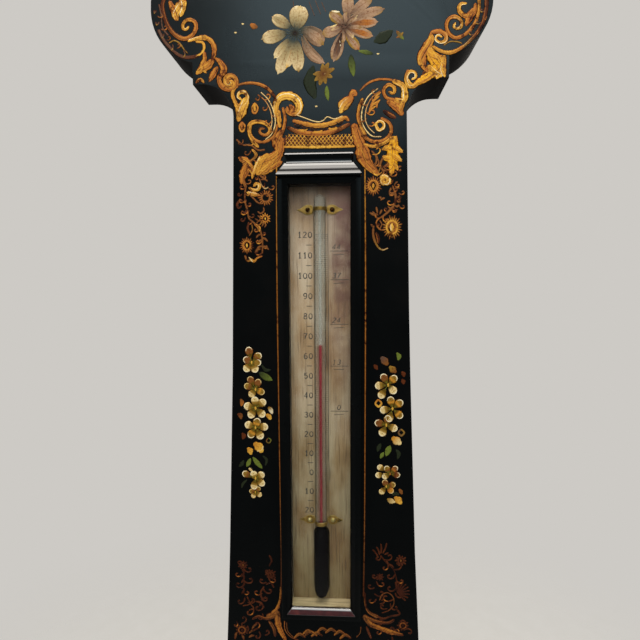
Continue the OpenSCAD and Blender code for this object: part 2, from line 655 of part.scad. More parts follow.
module dial_plate() color([0.8, 0.79, 0.74]) translate([0, 0, z_dial]) difference() {
  post(dial_r, core_t, dial_face_d);
  post(pipe_r + run, core_t - 1, dial_face_d + 1);
  for (a = dial_screw_a)
    translate([dial_screw_c * cos(a), 0, dial_screw_c * sin(a)]) post(screw_r + seat, core_t - 1, dial_face_d + 1);
}
module dial_screws() color([0.7, 0.55, 0.28]) translate([0, 0, z_dial]) for (a = dial_screw_a)
  translate([dial_screw_c * cos(a), 0, dial_screw_c * sin(a)])
    front_screw(dial_face_d, screw_r, screw_head_r - 0.4, dial_t + screw_len - 1);

module bezel() color([0.78, 0.6, 0.28]) translate([0, 0, z_dial]) {
  difference() {
    union() {
      turned(face_d) polygon(concat(
        [[bezel_sight_r, lip_h], [bezel_sight_r, lip_h + 1], [bezel_sight_r + 2.4, bezel_h], [bezel_r - 8, bezel_h]],
        arc([bezel_r - 7, bezel_h - 5.6], 5.0, 80, 5, 8),
        [[bezel_r - 1.2, 3.2], [bezel_r, 2.6], [bezel_r, bezel_foot], [glass_r + 0.3, bezel_foot], [glass_r + 0.3, lip_h]]));
      block(barrel_x, -bezel_r + 3, face_d + bezel_foot, face_d + 3, -barrel_len / 6 + pass / 2, barrel_len / 6 - pass / 2);
      translate([barrel_x, -barrel_d, -barrel_len / 6 + pass / 2]) cylinder(r = barrel_r, h = barrel_len / 3 - pass);
    }
    difference() {
      turned(face_d) polygon([[glass_r + 0.3 + bezel_wall, 0], [glass_r + 0.3 + bezel_wall, bezel_h - 3.4],
        [bezel_r - 7, bezel_h - 3.4], [bezel_r - bezel_wall - 1.6, 3], [bezel_r - bezel_wall - 1.6, 0]]);
      translate([peg_x, 0, 0]) post(boss_r, face_d, face_d + bezel_h);
    }
    translate([peg_x, 0, 0]) post(peg_r + seat, face_d - 1, face_d + 3.5);
    translate([barrel_x, -barrel_d, -barrel_len]) cylinder(r = barrel_pin_r + run, h = 2 * barrel_len);
  }
}

module dial_glass() color([0.85, 0.92, 0.95, 0.3]) translate([0, -face_d - rim_h - glass_rise + glass_rho, z_dial])
  rotate([90, 0, 0]) intersection() {
    difference() {
      sphere(glass_rho, $fn = 200);
      sphere(glass_rho - glass_t, $fn = 200);
    }
    translate([0, 0, glass_rho - glass_rise - glass_t]) cylinder(r = glass_r, h = glass_rise + glass_t + 1);
  }

module glass_ring() color([0.75, 0.58, 0.28]) translate([0, 0, z_dial])
  turned(face_d) polygon([[bezel_sight_r + 0.8, bezel_foot + 0.2], [glass_r + 0.3 - seat, bezel_foot + 0.2],
    [glass_r + 0.3 - seat, rim_h - glass_t - 0.1], [bezel_sight_r + 0.8, rim_h - glass_t - 0.1]]);

module bezel_hinge_plate() color([0.78, 0.6, 0.28]) translate([0, 0, z_dial]) difference() {
  union() {
    block(barrel_x - barrel_r - hinge_plate_w + 2, barrel_x, face_d, face_d + 1.4, -barrel_len / 2, barrel_len / 2);
    for (s = [-1, 1]) {
      translate([barrel_x, -barrel_d, s * barrel_len / 3 - barrel_len / 6]) cylinder(r = barrel_r, h = barrel_len / 3);
      block(barrel_x - barrel_r, barrel_x, face_d, barrel_d, s * barrel_len / 3 - barrel_len / 6,
        s * barrel_len / 3 + barrel_len / 6);
    }
  }
  block(barrel_x - barrel_r - pass, barrel_x + 20, face_d - 1, face_d + 20,
    -barrel_len / 6 - pass / 2, barrel_len / 6 + pass / 2);
  translate([barrel_x, -barrel_d, -barrel_len]) cylinder(r = barrel_pin_r + seat, h = 2 * barrel_len);
  for (s = hinge_screw_z) translate([hinge_screw_x, 0, s]) post(screw_r + seat, face_d - 1, face_d + 3);
}
module bezel_hinge_pin() color([0.7, 0.7, 0.7])
  translate([barrel_x, -barrel_d, z_dial - barrel_len / 2]) {
    cylinder(r = barrel_pin_r, h = barrel_len);
    translate([0, 0, barrel_len]) cylinder(r = barrel_r - 0.3, h = 1.2);
  }
module bezel_hinge_screws() color([0.7, 0.55, 0.28]) translate([0, 0, z_dial])
  for (s = hinge_screw_z) translate([hinge_screw_x, 0, s]) front_screw(face_d + 1.4, screw_r, screw_head_r - 0.4, 9);
module catch_peg() color([0.75, 0.58, 0.28]) translate([peg_x, 0, z_dial]) post(peg_r, core_t - 1, face_d + 3.5);

module hand_shape(len, tail, w, ring_r) difference() {
  union() {
    circle(hand_boss_r);
    polygon([[-w, 0], [-w * 0.55, len * 0.6], [-w * 1.3, len * 0.68], [-w * 0.4, len * 0.78], [-0.25, len],
      [0.25, len], [w * 0.4, len * 0.78], [w * 1.3, len * 0.68], [w * 0.55, len * 0.6], [w, 0],
      [w * 0.8, -tail], [-w * 0.8, -tail]]);
    translate([0, -tail - ring_r + 0.6]) circle(ring_r);
  }
  translate([0, -tail - ring_r - 0.6]) circle(ring_r - 1.5);
}
module indicator_hand() color([0.08, 0.1, 0.2]) translate([0, 0, z_dial]) rotate([0, hand_a, 0]) difference() {
  union() {
    plate(hand_d, hand_t) hand_shape(hand_len, hand_tail, hand_w, hand_ring_r);
    post(arbor_r + 1.4, hand_d, hand_d + 2.2);
  }
  post(arbor_r + seat, hand_d - 1, hand_d + 4);
}
module set_hand() color([0.8, 0.62, 0.3]) translate([0, 0, z_dial]) rotate([0, set_a, 0]) difference() {
  plate(set_hand_d, hand_t) hand_shape(set_hand_len, set_hand_tail, set_hand_w, set_hand_ring_r);
  post(pipe_r + seat, set_hand_d - 1, set_hand_d + 4);
}
module hand_arbor() color([0.7, 0.7, 0.72]) translate([0, 0, z_dial]) post(arbor_r, cock_back_d, hand_d + 3);
module pulley() color([0.78, 0.62, 0.3]) translate([0, 0, z_dial]) difference() {
  turned(tube_d - pulley_w / 2) polygon([[arbor_r + seat, 0], [pulley_out_r, 0], [pulley_out_r, 0.6],
    [pulley_r - thread_r - seat, pulley_w / 2 - thread_r], [pulley_r - thread_r - seat, pulley_w / 2 + thread_r],
    [pulley_out_r, pulley_w - 0.6], [pulley_out_r, pulley_w], [arbor_r + seat, pulley_w]]);
}
module thread_turn() color([0.85, 0.82, 0.7]) translate([0, 0, z_dial])
  turned(tube_d) translate([pulley_r, 0]) circle(thread_r, $fn = 16);
module float_thread() color([0.85, 0.82, 0.7]) translate([short_x, -tube_d, z_float + float_len])
  cylinder(r = thread_r, h = z_thread - z_float - float_len, $fn = 16);
module float_plunger() color([0.85, 0.88, 0.9]) translate([short_x, -tube_d, z_float])
  cylinder(r = float_r, h = float_len);
module counter_thread() color([0.85, 0.82, 0.7]) translate([-short_x, -tube_d, z_counter + counter_len])
  cylinder(r = thread_r, h = z_thread - z_counter - counter_len, $fn = 16);
module counterweight() color([0.85, 0.88, 0.9]) translate([-short_x, -tube_d, z_counter])
  cylinder(r = counter_r, h = counter_len);
module counter_tube() color([0.85, 0.92, 0.92, 0.5]) translate([-short_x, -tube_d, z_dial - guide_drop]) difference() {
  cylinder(r = guide_r, h = guide_drop - open_drop);
  translate([0, 0, -1]) cylinder(r = guide_r - guide_wall, h = guide_drop + 2);
}

// The half turn at the foot of the siphon, a little swollen as a bent tube is
module siphon_bend(r) translate([bend_x, -tube_d, z_bend]) rotate([-90, 0, 0])
  rotate_extrude(angle = 180, start = 0) translate([limb_gap / 2, 0]) circle(r + bend_swell);
// A straight limb that enters the bend by a short socket
module siphon_limb(x, r, top) translate([x, -tube_d, z_bend - limb_socket])
  cylinder(r = r, h = top - z_bend + limb_socket);
module siphon_tube() color([0.85, 0.92, 0.92, 0.5]) difference() {
  union() {
    siphon_bend(siphon_od / 2);
    siphon_limb(long_x, siphon_od / 2, z_siphon_top - siphon_od / 2);
    translate([long_x, -tube_d, z_siphon_top - siphon_od / 2]) sphere(siphon_od / 2);
    siphon_limb(short_x, siphon_od / 2, z_open);
  }
  siphon_bend(siphon_bore / 2);
  siphon_limb(long_x, siphon_bore / 2, z_siphon_top - siphon_od);
  siphon_limb(short_x, siphon_bore / 2, z_open + 1);
}
module mercury() color([0.78, 0.79, 0.8]) {
  siphon_bend(siphon_bore / 2 - run);
  siphon_limb(long_x, siphon_bore / 2 - run, z_long);
  siphon_limb(short_x, siphon_bore / 2 - run, z_short);
}

module cork_blocks() color([0.7, 0.52, 0.33]) difference() {
  union() {
    for (z = cork_z)
      block(long_x - trough_w / 2 + let_in, long_x + trough_w / 2 - let_in, cover_t + let_in, trough_d, z, z + cork_h);
    block(bend_x - lower_r + let_in, bend_x + lower_r - let_in, cover_t + let_in, trough_d, z_cork_low, z_cork_low + cork_h);
  }
  translate([long_x, -tube_d, z_bend]) cylinder(r = siphon_od / 2 + seat, h = siphon_rise + bend_drop);
  translate([short_x, -tube_d, z_bend]) cylinder(r = siphon_od / 2 + seat, h = bend_drop);
  translate([-short_x, -tube_d, z_bend]) cylinder(r = guide_r + seat, h = bend_drop);
}

cock_foot = 9;
module arbor_cock() color([0.78, 0.62, 0.3]) translate([0, 0, z_dial]) difference() {
  union() {
    plate(cock_back_d, cock_t) {
      circle(cock_w / 2);
      translate([-cock_w / 2, 0]) square([cock_w, cock_rise + 4]);
    }
    block(-cock_w / 2, cock_w / 2, cock_back_d, core_t, cock_rise, cock_rise + 4);
    block(-cock_w / 2, cock_w / 2, core_t - 3, core_t, cock_rise, cock_rise + 4 + cock_foot);
  }
  post(arbor_r + run, cock_back_d - 1, cock_back_d + cock_t + 1);
  for (s = [-1, 1]) translate([s * cock_w / 4, 0, cock_rise + 4 + cock_foot / 2]) post(1 + seat, core_t - 4, core_t + 1);
}
module cock_screws() color([0.7, 0.55, 0.28]) translate([0, 0, z_dial]) for (s = [-1, 1])
  translate([s * cock_w / 4, 0, cock_rise + 4 + cock_foot / 2]) {
    post(1, core_t - 3.5, core_t);
    post(1.8, core_t - 4.4, core_t - 3);
  }

// Bevel wheel along +Z: large end at the origin, teeth drawn towards the apex
module bevel_wheel(bore) {
  pitch_a = 360 / gear_teeth;
  root_r = gear_r - gear_add * 1.25;
  difference() {
    union() {
      linear_extrude(gear_face, scale = (gear_r - gear_face) / gear_r) polygon([for (i = [0:gear_teeth - 1], p = [
        [root_r, -0.34], [gear_r + gear_add, -0.12], [gear_r + gear_add, 0.12], [root_r, 0.34]])
        let (a = 90 + (i + p[1]) * pitch_a) p[0] * [cos(a), sin(a)]]);
      translate([0, 0, -hub_len]) cylinder(r = gear_r * 0.72, h = hub_len + eps);
    }
    translate([0, 0, -hub_len - 1]) cylinder(r = bore + seat, h = gear_face + hub_len + 2);
  }
}
half_tooth = 180 / gear_teeth;
module set_wheel() color([0.78, 0.62, 0.3]) translate([0, -gear_back_d, z_dial]) rotate([-90, 0, 0]) bevel_wheel(pipe_r);
module set_pipe() color([0.78, 0.62, 0.3]) translate([0, 0, z_dial]) difference() {
  post(pipe_r, gear_small_d, set_hand_d + hand_t + 0.4);
  post(arbor_r + run, gear_small_d - 1, set_hand_d + 5);
}
module key_wheel() color([0.78, 0.62, 0.3]) translate([0, -gear_back_d, z_key]) rotate([-90, 0, 0]) bevel_wheel(key_r);
module rod_upper_wheel() color([0.78, 0.62, 0.3])
  translate([0, -gear_d, z_dial - gear_r]) rotate([0, 0, half_tooth]) bevel_wheel(rod_r);
module rod_lower_wheel() color([0.78, 0.62, 0.3])
  translate([0, -gear_d, z_key + gear_r]) mirror([0, 0, 1]) rotate([0, 0, half_tooth]) bevel_wheel(rod_r);
z_rod_top = z_dial - gear_r + gear_face;
z_rod_low = z_key + gear_r - gear_face;
module setting_rod() color([0.7, 0.7, 0.72]) translate([0, -gear_d, z_rod_low]) cylinder(r = rod_r, h = z_rod_top - z_rod_low);
bracket_z = [z_dial - gear_r - hub_len - pass - 2, z_dial - well_r + 8];
module rod_brackets() color([0.78, 0.62, 0.3]) for (z = bracket_z) difference() {
  union() {
    block(-4, 4, gear_d - rod_r - 2.2, core_t, z, z + 2);
    block(-4, 4, core_t - 1.4, core_t, z - 7, z + 2);
  }
  translate([0, -gear_d, z - 1]) cylinder(r = rod_r + run, h = 4);
}
module key_shaft() color([0.7, 0.7, 0.72]) translate([0, 0, z_key]) post(key_r, gear_small_d, face_d + 2 + knob_len * 0.6);
module key_bush() color([0.78, 0.62, 0.3]) translate([0, 0, z_key]) difference() {
  union() {
    post(bush_r - 2, core_t, face_d);
    turned(face_d) polygon([[0, 0], [bush_r, 0], [bush_r, 0.6], [bush_r - 0.6, 1.2], [0, 1.2]]);
  }
  post(key_r + run, core_t - 1, face_d + 3);
}
module key_knob() color([0.9, 0.86, 0.76]) translate([0, 0, z_key]) difference() {
  turned(face_d + 1.2 + pass) polygon(concat(
    [[0, 0], [knob_r * 0.55, 0], [knob_r * 0.62, 1], [knob_r * 0.42, knob_len * 0.25], [knob_r * 0.4, knob_len * 0.4]],
    arc([knob_r * 0.5, knob_len * 0.66], knob_r * 0.5, -60, 60, 8),
    [[knob_r * 0.45, knob_len * 0.95], [0, knob_len]]));
  post(key_r + seat, face_d, face_d + 2 + knob_len * 0.6 + 0.1);
}

module back_door() color([0.35, 0.2, 0.1]) translate([0, 0, z_dial]) difference() {
  post(door_r, 0, cover_t - 0.1);
  block(axis_x, axis_x + leaf_w + let_in, -1, leaf_t, -leaf_len / 2 - let_in, leaf_len / 2 + let_in);
  for (z = leaf_screw_z) translate([axis_x + leaf_screw_x, 0, z]) post(0.9 + seat, -1, 3.4);
}
knuckle_len = leaf_len / 3;
module door_case_leaf() color([0.75, 0.58, 0.28]) translate([axis_x, 0, z_dial]) difference() {
  union() {
    block(-leaf_w, 0, 0, leaf_t, -leaf_len / 2, leaf_len / 2);
    for (s = [-1, 1]) translate([0, axis_d, s * knuckle_len - knuckle_len / 2]) cylinder(r = knuckle_r, h = knuckle_len);
  }
  block(-knuckle_r - pass, knuckle_r + 1, -knuckle_r * 3, leaf_t + 1, -knuckle_len / 2 - pass / 2, knuckle_len / 2 + pass / 2);
  translate([0, axis_d, -leaf_len]) cylinder(r = knuckle_pin_r + seat, h = 2 * leaf_len);
  for (z = leaf_screw_z) translate([-leaf_screw_x, 0, z]) back_screw_hole(0);
}
module case_leaf_screws() color([0.7, 0.55, 0.28]) translate([axis_x, 0, z_dial])
  for (z = leaf_screw_z) translate([-leaf_screw_x, 0, z]) back_screw(0);
module door_leaf() color([0.75, 0.58, 0.28]) translate([axis_x, 0, z_dial]) difference() {
  union() {
    difference() {
      block(0, leaf_w, 0, leaf_t, -leaf_len / 2, leaf_len / 2);
      for (s = [-1, 1]) translate([0, axis_d, s * knuckle_len - knuckle_len / 2 - pass])
        cylinder(r = knuckle_r + pass, h = knuckle_len + 2 * pass);
    }
    translate([0, axis_d, -knuckle_len / 2 + pass / 2]) cylinder(r = knuckle_r, h = knuckle_len - pass);
  }
  translate([0, axis_d, -leaf_len]) cylinder(r = knuckle_pin_r + run, h = 2 * leaf_len);
  for (z = leaf_screw_z) translate([leaf_screw_x, 0, z]) post(0.9 + seat, -1, 3);
}
module door_leaf_screws() color([0.7, 0.55, 0.28]) translate([axis_x, 0, z_dial])
  for (z = leaf_screw_z) translate([leaf_screw_x, 0, z]) {
    post(0.9, 0, 3.2);
    post(1.7, -0.7, 0);
  }
module door_hinge_pin() color([0.7, 0.7, 0.72]) translate([axis_x, axis_d, z_dial - leaf_len / 2])
  cylinder(r = knuckle_pin_r, h = leaf_len);

module turn_button() color([0.75, 0.58, 0.28]) translate([button_x, 0, z_dial]) difference() {
  plate(-0.1 - button_t, button_t) {
    circle(button_w / 2);
    translate([-button_w / 2, 0]) square([button_w, button_len - button_w]);
    translate([0, button_len - button_w]) circle(button_w / 2);
  }
  post(screw_r + run, -5, 1);
}
module button_screw() color([0.7, 0.55, 0.28]) translate([button_x, 0, z_dial]) {
  post(screw_r, -0.2 - button_t, screw_len);
  post(screw_head_r, -1.4 - button_t, -0.2 - button_t);
}

module upper_tube_cover() color([0.35, 0.2, 0.1]) difference() {
  block(long_x - trough_w / 2 - ledge_w, long_x + trough_w / 2 + ledge_w, 0, cover_t, z_cover_low, z_cover_top);
  cover_holes() back_screw_hole(0);
}
module lower_tube_cover() color([0.35, 0.2, 0.1]) difference() {
  plate(0, cover_t) lower_shape(ledge_w, z_lower_top);
  cover_holes() back_screw_hole(0);
}
module cover_screws() color([0.7, 0.55, 0.28]) cover_holes() back_screw(0);

carcass();
face_panel();
hanger_plate();
hanger_screws();
thermometer_frame();
thermometer_cornice();
thermometer_pane();
thermometer_lining();
scale_plate();
thermometer_tube();
thermometer_spirit();
tube_straps();
strap_pins();
dial_plate();
dial_screws();
bezel();
dial_glass();
glass_ring();
bezel_hinge_plate();
bezel_hinge_pin();
bezel_hinge_screws();
catch_peg();
indicator_hand();
hand_arbor();
pulley();
thread_turn();
float_thread();
float_plunger();
counter_thread();
counterweight();
counter_tube();
siphon_tube();
mercury();
cork_blocks();
arbor_cock();
cock_screws();
set_hand();
set_pipe();
set_wheel();
setting_rod();
rod_upper_wheel();
rod_lower_wheel();
rod_brackets();
key_wheel();
key_shaft();
key_knob();
key_bush();
back_door();
door_case_leaf();
door_leaf();
door_hinge_pin();
case_leaf_screws();
door_leaf_screws();
turn_button();
button_screw();
upper_tube_cover();
lower_tube_cover();
cover_screws();
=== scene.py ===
import math
import bmesh
import bpy
from mathutils import Matrix, Vector
from mathutils.bvhtree import BVHTree


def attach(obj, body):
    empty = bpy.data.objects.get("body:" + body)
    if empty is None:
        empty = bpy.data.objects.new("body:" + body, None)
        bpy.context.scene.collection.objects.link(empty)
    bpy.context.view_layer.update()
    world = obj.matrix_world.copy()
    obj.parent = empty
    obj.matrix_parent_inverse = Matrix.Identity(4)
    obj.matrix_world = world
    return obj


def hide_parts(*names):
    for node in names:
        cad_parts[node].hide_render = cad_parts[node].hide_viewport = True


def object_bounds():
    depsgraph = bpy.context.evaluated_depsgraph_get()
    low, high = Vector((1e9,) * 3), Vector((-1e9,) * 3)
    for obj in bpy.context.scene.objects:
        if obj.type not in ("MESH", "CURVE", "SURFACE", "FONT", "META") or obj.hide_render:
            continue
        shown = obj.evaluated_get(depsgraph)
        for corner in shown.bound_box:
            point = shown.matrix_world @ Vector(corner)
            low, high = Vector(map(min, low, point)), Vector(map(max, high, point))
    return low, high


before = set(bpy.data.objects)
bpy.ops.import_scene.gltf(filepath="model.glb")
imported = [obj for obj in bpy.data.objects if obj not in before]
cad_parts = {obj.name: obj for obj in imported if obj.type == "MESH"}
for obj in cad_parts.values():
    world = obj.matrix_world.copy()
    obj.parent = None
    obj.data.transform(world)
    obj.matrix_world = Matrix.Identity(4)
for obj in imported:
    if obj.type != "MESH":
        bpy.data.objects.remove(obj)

cad_low, cad_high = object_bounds()
MM = 0.001

# ---- Carcass ----------------------------------------------------------------------------------------------
# The core of the case is planed softwood, sawn to the banjo outline and hollowed from behind for the tube,
# the movement and the setting gear. Its sides are lacquered black with the face; the back stays bare wood.


def linear(colour):
    """An sRGB hex colour as linear RGBA."""
    parts = [int(colour[i:i + 2], 16) / 255 for i in (1, 3, 5)]
    return tuple(c / 12.92 if c < 0.04045 else ((c + 0.055) / 1.055) ** 2.4 for c in parts) + (1.0,)


def connect(tree, node, sockets):
    """Fills a node's sockets: a node links by its first live output, an output links, anything else is a constant."""
    for key, value in sockets.items():
        if isinstance(value, bpy.types.Node):
            value = next(output for output in value.outputs if output.enabled)
        if isinstance(value, bpy.types.NodeSocket):
            tree.links.new(value, node.inputs[key])
        else:
            node.inputs[key].default_value = value


def add(tree, kind, sockets=None, stops=(), **settings):
    """Adds one node with its settings and links; stops are the places and colours of a ramp."""
    made = tree.nodes.new(kind)
    for key, value in settings.items():
        setattr(made, key, value)
    connect(tree, made, sockets or {})
    while stops and len(made.color_ramp.elements) < len(stops):
        made.color_ramp.elements.new(0.5)
    for i, (place, colour) in enumerate(stops):
        made.color_ramp.elements[i].position = place
        made.color_ramp.elements[i].color = linear(colour)
    return made


def shade(tree, **sockets):
    """Fills sockets of a material's shader, named with _ for a space."""
    connect(tree, tree.nodes["Principled BSDF"], {key.replace("_", " "): value for key, value in sockets.items()})


def finish(name, grain_mm, stops, gloss, relief_mm, stretch=(1, 1, 1), detail=4.0, **constants):
    """A material whose colour, roughness and relief follow one noise with marks of about grain_mm. Its nodes where,
    grain and tint can be built on; constants are sockets of the shader."""
    made = bpy.data.materials.new(name)
    made.use_nodes = True
    tree = made.node_tree
    where = add(tree, "ShaderNodeTexCoord", name="where").outputs["Object"]
    where = add(tree, "ShaderNodeMapping", {"Vector": where, "Scale": stretch})
    grain = add(tree, "ShaderNodeTexNoise", {"Vector": where, "Scale": 1 / (grain_mm * MM), "Detail": detail,
                                             "Roughness": 0.62}, name="grain")
    tint = add(tree, "ShaderNodeValToRGB", {"Fac": grain}, stops, name="tint")
    rough = add(tree, "ShaderNodeMapRange", {"Value": grain, "To Min": gloss[0], "To Max": gloss[1]})
    bump = add(tree, "ShaderNodeBump", {"Height": grain, "Distance": relief_mm * MM})
    shade(tree, Base_Color=tint, Roughness=rough, Normal=bump, **constants)
    return made


def height_share(tree, low, high, least=0.0, most=1.0):
    """How far a place has come from one height to another, 0 to 1 or between two other limits."""
    height = add(tree, "ShaderNodeSeparateXYZ", {"Vector": tree.nodes["where"].outputs["Object"]}).outputs["Z"]
    return add(tree, "ShaderNodeMapRange", {"Value": height, "From Min": low, "From Max": high, "To Min": least,
                                            "To Max": most})


def turning(made, low, high, colour):
    """Lets a finish turn to another colour from one height to another."""
    tree = made.node_tree
    both = add(tree, "ShaderNodeMix", {0: height_share(tree, low, high), 6: tree.nodes["tint"], 7: linear(colour)},
               data_type="RGBA")
    shade(tree, Base_Color=both)
    return made


def grained_wood(name, dark, mid, pale, ring_mm, gloss):
    """Planed wood with upright grain: fine pores over growth rings, both drawn out along Z."""
    made = finish(name, 1.1, ((0.35, dark), (0.6, pale)), (gloss, gloss + 0.2), 0.08, (1, 1, 0.03), 2.0)
    tree = made.node_tree
    along = add(tree, "ShaderNodeMapping", {"Vector": tree.nodes["where"].outputs["Object"], "Scale": (1, 1, 0.06)})
    warp = add(tree, "ShaderNodeTexNoise", {"Vector": along, "Scale": 1 / (33 * MM), "Detail": 3.0})
    rings = add(tree, "ShaderNodeTexWave", {"Vector": along, "Scale": 0.314 / (ring_mm * MM), "Distortion": 7.0,
                                            "Detail": 3.0, "Detail Scale": 1.4}, bands_direction="X")
    mixed = add(tree, "ShaderNodeMix", {0: 0.35, 2: rings.outputs["Fac"], 3: warp})
    ringed = add(tree, "ShaderNodeValToRGB", {"Fac": mixed}, ((0.15, dark), (0.5, mid), (0.85, pale)))
    worn = add(tree, "ShaderNodeMix", {0: 0.3, 6: ringed, 7: tree.nodes["tint"]}, data_type="RGBA",
               blend_type="MULTIPLY")
    shade(tree, Base_Color=worn)
    return made


# Japanned black lacquer: a near-black film polished by hand. Its reflections are tinted cool and grow stronger from
# the neck up to the head: a painted sheen
lacquer = finish("black_japan_lacquer", 45, ((0.3, "#030303"), (0.55, "#050505"), (0.75, "#0A0807")), (0.2, 0.34),
                 0.12, detail=5.0, Specular_Tint=linear("#C6DDE6"))
tree = lacquer.node_tree
# painted sheen: the strength of the reflection rises from the neck to the head
shade(tree, Specular_IOR_Level=height_share(tree, -0.25, -0.19, 0.06, 0.31))
# The same lacquer on an arris: rubbed through in patches to the brown ground coat
rubbed = finish("lacquer_rubbed_arris", 7.7, ((0.5, "#080707"), (0.64, "#1C110B"), (0.78, "#452814")), (0.2, 0.6),
                0.12, detail=6.0, Specular_IOR_Level=0.2)
# The sides had one thin coat: the black is duller there, and brownish in places
side_lacquer = finish("dull_side_lacquer", 17, ((0.3, "#050505"), (0.6, "#090808"), (0.8, "#130E0A")), (0.6, 0.8),
                      0.15, detail=5.0, Specular_IOR_Level=0.03)
# Softwood, planed and left bare: straw-brown with upright grain, gone darker with age
softwood = grained_wood("planed_softwood", "#7C5B37", "#957048", "#AA8658", 3.2, 0.55)


def rounded_copy(node, name, finishes, *rounds, steps=3, flat_mm2=600):
    """A merged copy of a CAD node with its sharp edges rounded, each round a radius in mm and a test for its edges.
    The new edge faces get the second of its finishes, the others the first; faces larger than flat_mm2 stay flat."""
    shape = bmesh.new()
    shape.from_mesh(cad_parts[node].data)
    bmesh.ops.remove_doubles(shape, verts=shape.verts, dist=2e-6)
    bmesh.ops.dissolve_limit(shape, angle_limit=math.radians(0.6), verts=shape.verts, edges=shape.edges)
    for face in shape.faces:
        face.material_index = 0
    for radius, keep in rounds:
        sharp = [e for e in shape.edges
                 if len(e.link_faces) == 2 and e.calc_face_angle(0) > math.radians(35) and keep(e)]
        bmesh.ops.bevel(shape, geom=sharp, offset=radius * MM, offset_type="OFFSET", segments=steps, profile=0.5,
                        affect="EDGES", clamp_overlap=True, material=1)
    mesh = bpy.data.meshes.new(name)
    shape.to_mesh(mesh)
    shape.free()
    made = bpy.data.objects.new(name, mesh)
    bpy.context.scene.collection.objects.link(made)
    for kind in finishes:
        mesh.materials.append(kind)
    for polygon in mesh.polygons:
        polygon.use_smooth = polygon.area < flat_mm2 * MM ** 2
    mesh.set_sharp_from_angle(angle=math.radians(32))
    return made


Z_DIAL = -0.799
DIAL_HOLLOW_R, TUBE_HOLLOW_HALF = 0.127, 0.034
TUBE_HOLLOW_FOOT, TUBE_HOLLOW_TOP, CORE_FRONT_Y = -0.99, -0.075, -0.028


def in_dial_hollow(place):
    """True within the round hollow behind the dial."""
    return math.hypot(place.x, place.z - Z_DIAL) < DIAL_HOLLOW_R


def outer_edge(edge):
    """True for the edges of the outline, and not for those of the hollows and of the hanging hole."""
    p = (edge.verts[0].co + edge.verts[1].co) / 2
    in_tube_hollow = abs(p.x) < TUBE_HOLLOW_HALF and TUBE_HOLLOW_FOOT < p.z < TUBE_HOLLOW_TOP
    return not in_dial_hollow(p) and not in_tube_hollow and not (abs(p.x) < 0.012 and p.z > -0.08)


def shell_of(made):
    """A piece's surface, for casting rays at it."""
    return BVHTree.FromPolygons([v.co for v in made.data.vertices], [p.vertices[:] for p in made.data.polygons])


case_core = rounded_copy("carcass", "carcass_lacquered", (softwood, rubbed, side_lacquer), (
    1.2, lambda e: outer_edge(e) and max(f.normal.y for f in e.link_faces) > 0.9))
case_shell = shell_of(case_core)
for polygon in case_core.data.polygons:
    p, n = polygon.center, polygon.normal
    across = case_shell.ray_cast(p + n * 0.1 * MM, n, 2 * TUBE_HOLLOW_HALF + 2 * MM)[0]
    side = abs(n.y) < 0.5 and not in_dial_hollow(p) and not (abs(p.x) < TUBE_HOLLOW_HALF and across)
    if polygon.material_index == 0 and (n.y < -0.9 and p.y < CORE_FRONT_Y + 2 * MM or side):
        polygon.material_index = 2
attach(case_core, "case")
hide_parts("carcass")

# ---- Face panel -------------------------------------------------------------------------------------------
# A thin board glued over the core carries the decoration. It is lacquered black, its front edge eased to a
# small round that years of dusting have rubbed through to the brown ground in places.
face = rounded_copy("face_panel", "face_panel_lacquered", (lacquer, rubbed, side_lacquer), (
    1.6, lambda e: outer_edge(e) and min(f.normal.y for f in e.link_faces) < -0.9), steps=4)
for polygon in face.data.polygons:
    if abs(polygon.normal.y) < 0.3:
        polygon.material_index = 2
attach(face, "case")
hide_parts("face_panel")

# ---- Gilt scrolls -----------------------------------------------------------------------------------------
# Scrolls, leaves and drops are brushed on in bronze powder and size, over a thin red-brown drawing line that
# shows at their edges. The paint stands a few hundredths of a millimetre above the lacquer.
FACE_Y = -32.0
# a letter for each mixed colour: golds f y g o, browns b r q m e u d, creams w c h p x t, greens n k, grey s
TONES = {"g": "#C58A30", "y": "#DFAC44", "o": "#AC6828", "b": "#7E4E24", "r": "#5A2C14", "m": "#604638",
         "t": "#92702C", "c": "#E0C68A", "w": "#F6EAC6", "n": "#66742F", "k": "#242B1C", "d": "#1E0E06",
         "u": "#5E4812", "p": "#AC8A6E", "s": "#3C4038", "e": "#80644C", "h": "#D6BE90", "q": "#3E190B",
         "x": "#A49066", "f": "#E0A01C"}
gilt_strokes, paint_strokes = [], []
face_shell = shell_of(face)
FACE_MIDDLE_Y, BESIDE, EDGE_CLEAR = -0.0295, 0.2, 1.7


def on_face(x, z, half):
    """Keeps a brush of a half width (mm) clear of the rounded edge of the face."""
    side = 1 if x > 0 else -1
    edge = face_shell.ray_cast(Vector((side * BESIDE, FACE_MIDDLE_Y, z * MM)), Vector((-side, 0, 0)), BESIDE)[0]
    return side * min(abs(x), max(abs(edge.x) / MM - EDGE_CLEAR - half, 0) if edge else abs(x)), z


def brush(strokes, tones, widths, path, height=0.0):
    """Keeps one stroke: tones and widths (mm) spread along a path of x z pairs (mm)."""
    if strokes is gilt_strokes:
        last = len(path) - 1
        halves = [widths[round(i / last * (len(widths) - 1))] / 2 for i in range(len(path))]
        path = [on_face(x, z, half) for (x, z), half in zip(path, halves)]
    strokes.append((tones, widths, path, height))


LIGHTER = {"f": "y", "q": "r", "r": "o", "b": "o", "o": "g", "g": "y", "y": "w", "m": "t", "t": "c", "c": "w"}
DARKER = {"f": "o", "r": "d", "b": "d", "o": "r", "g": "b", "y": "o", "m": "d", "t": "b", "c": "t"}


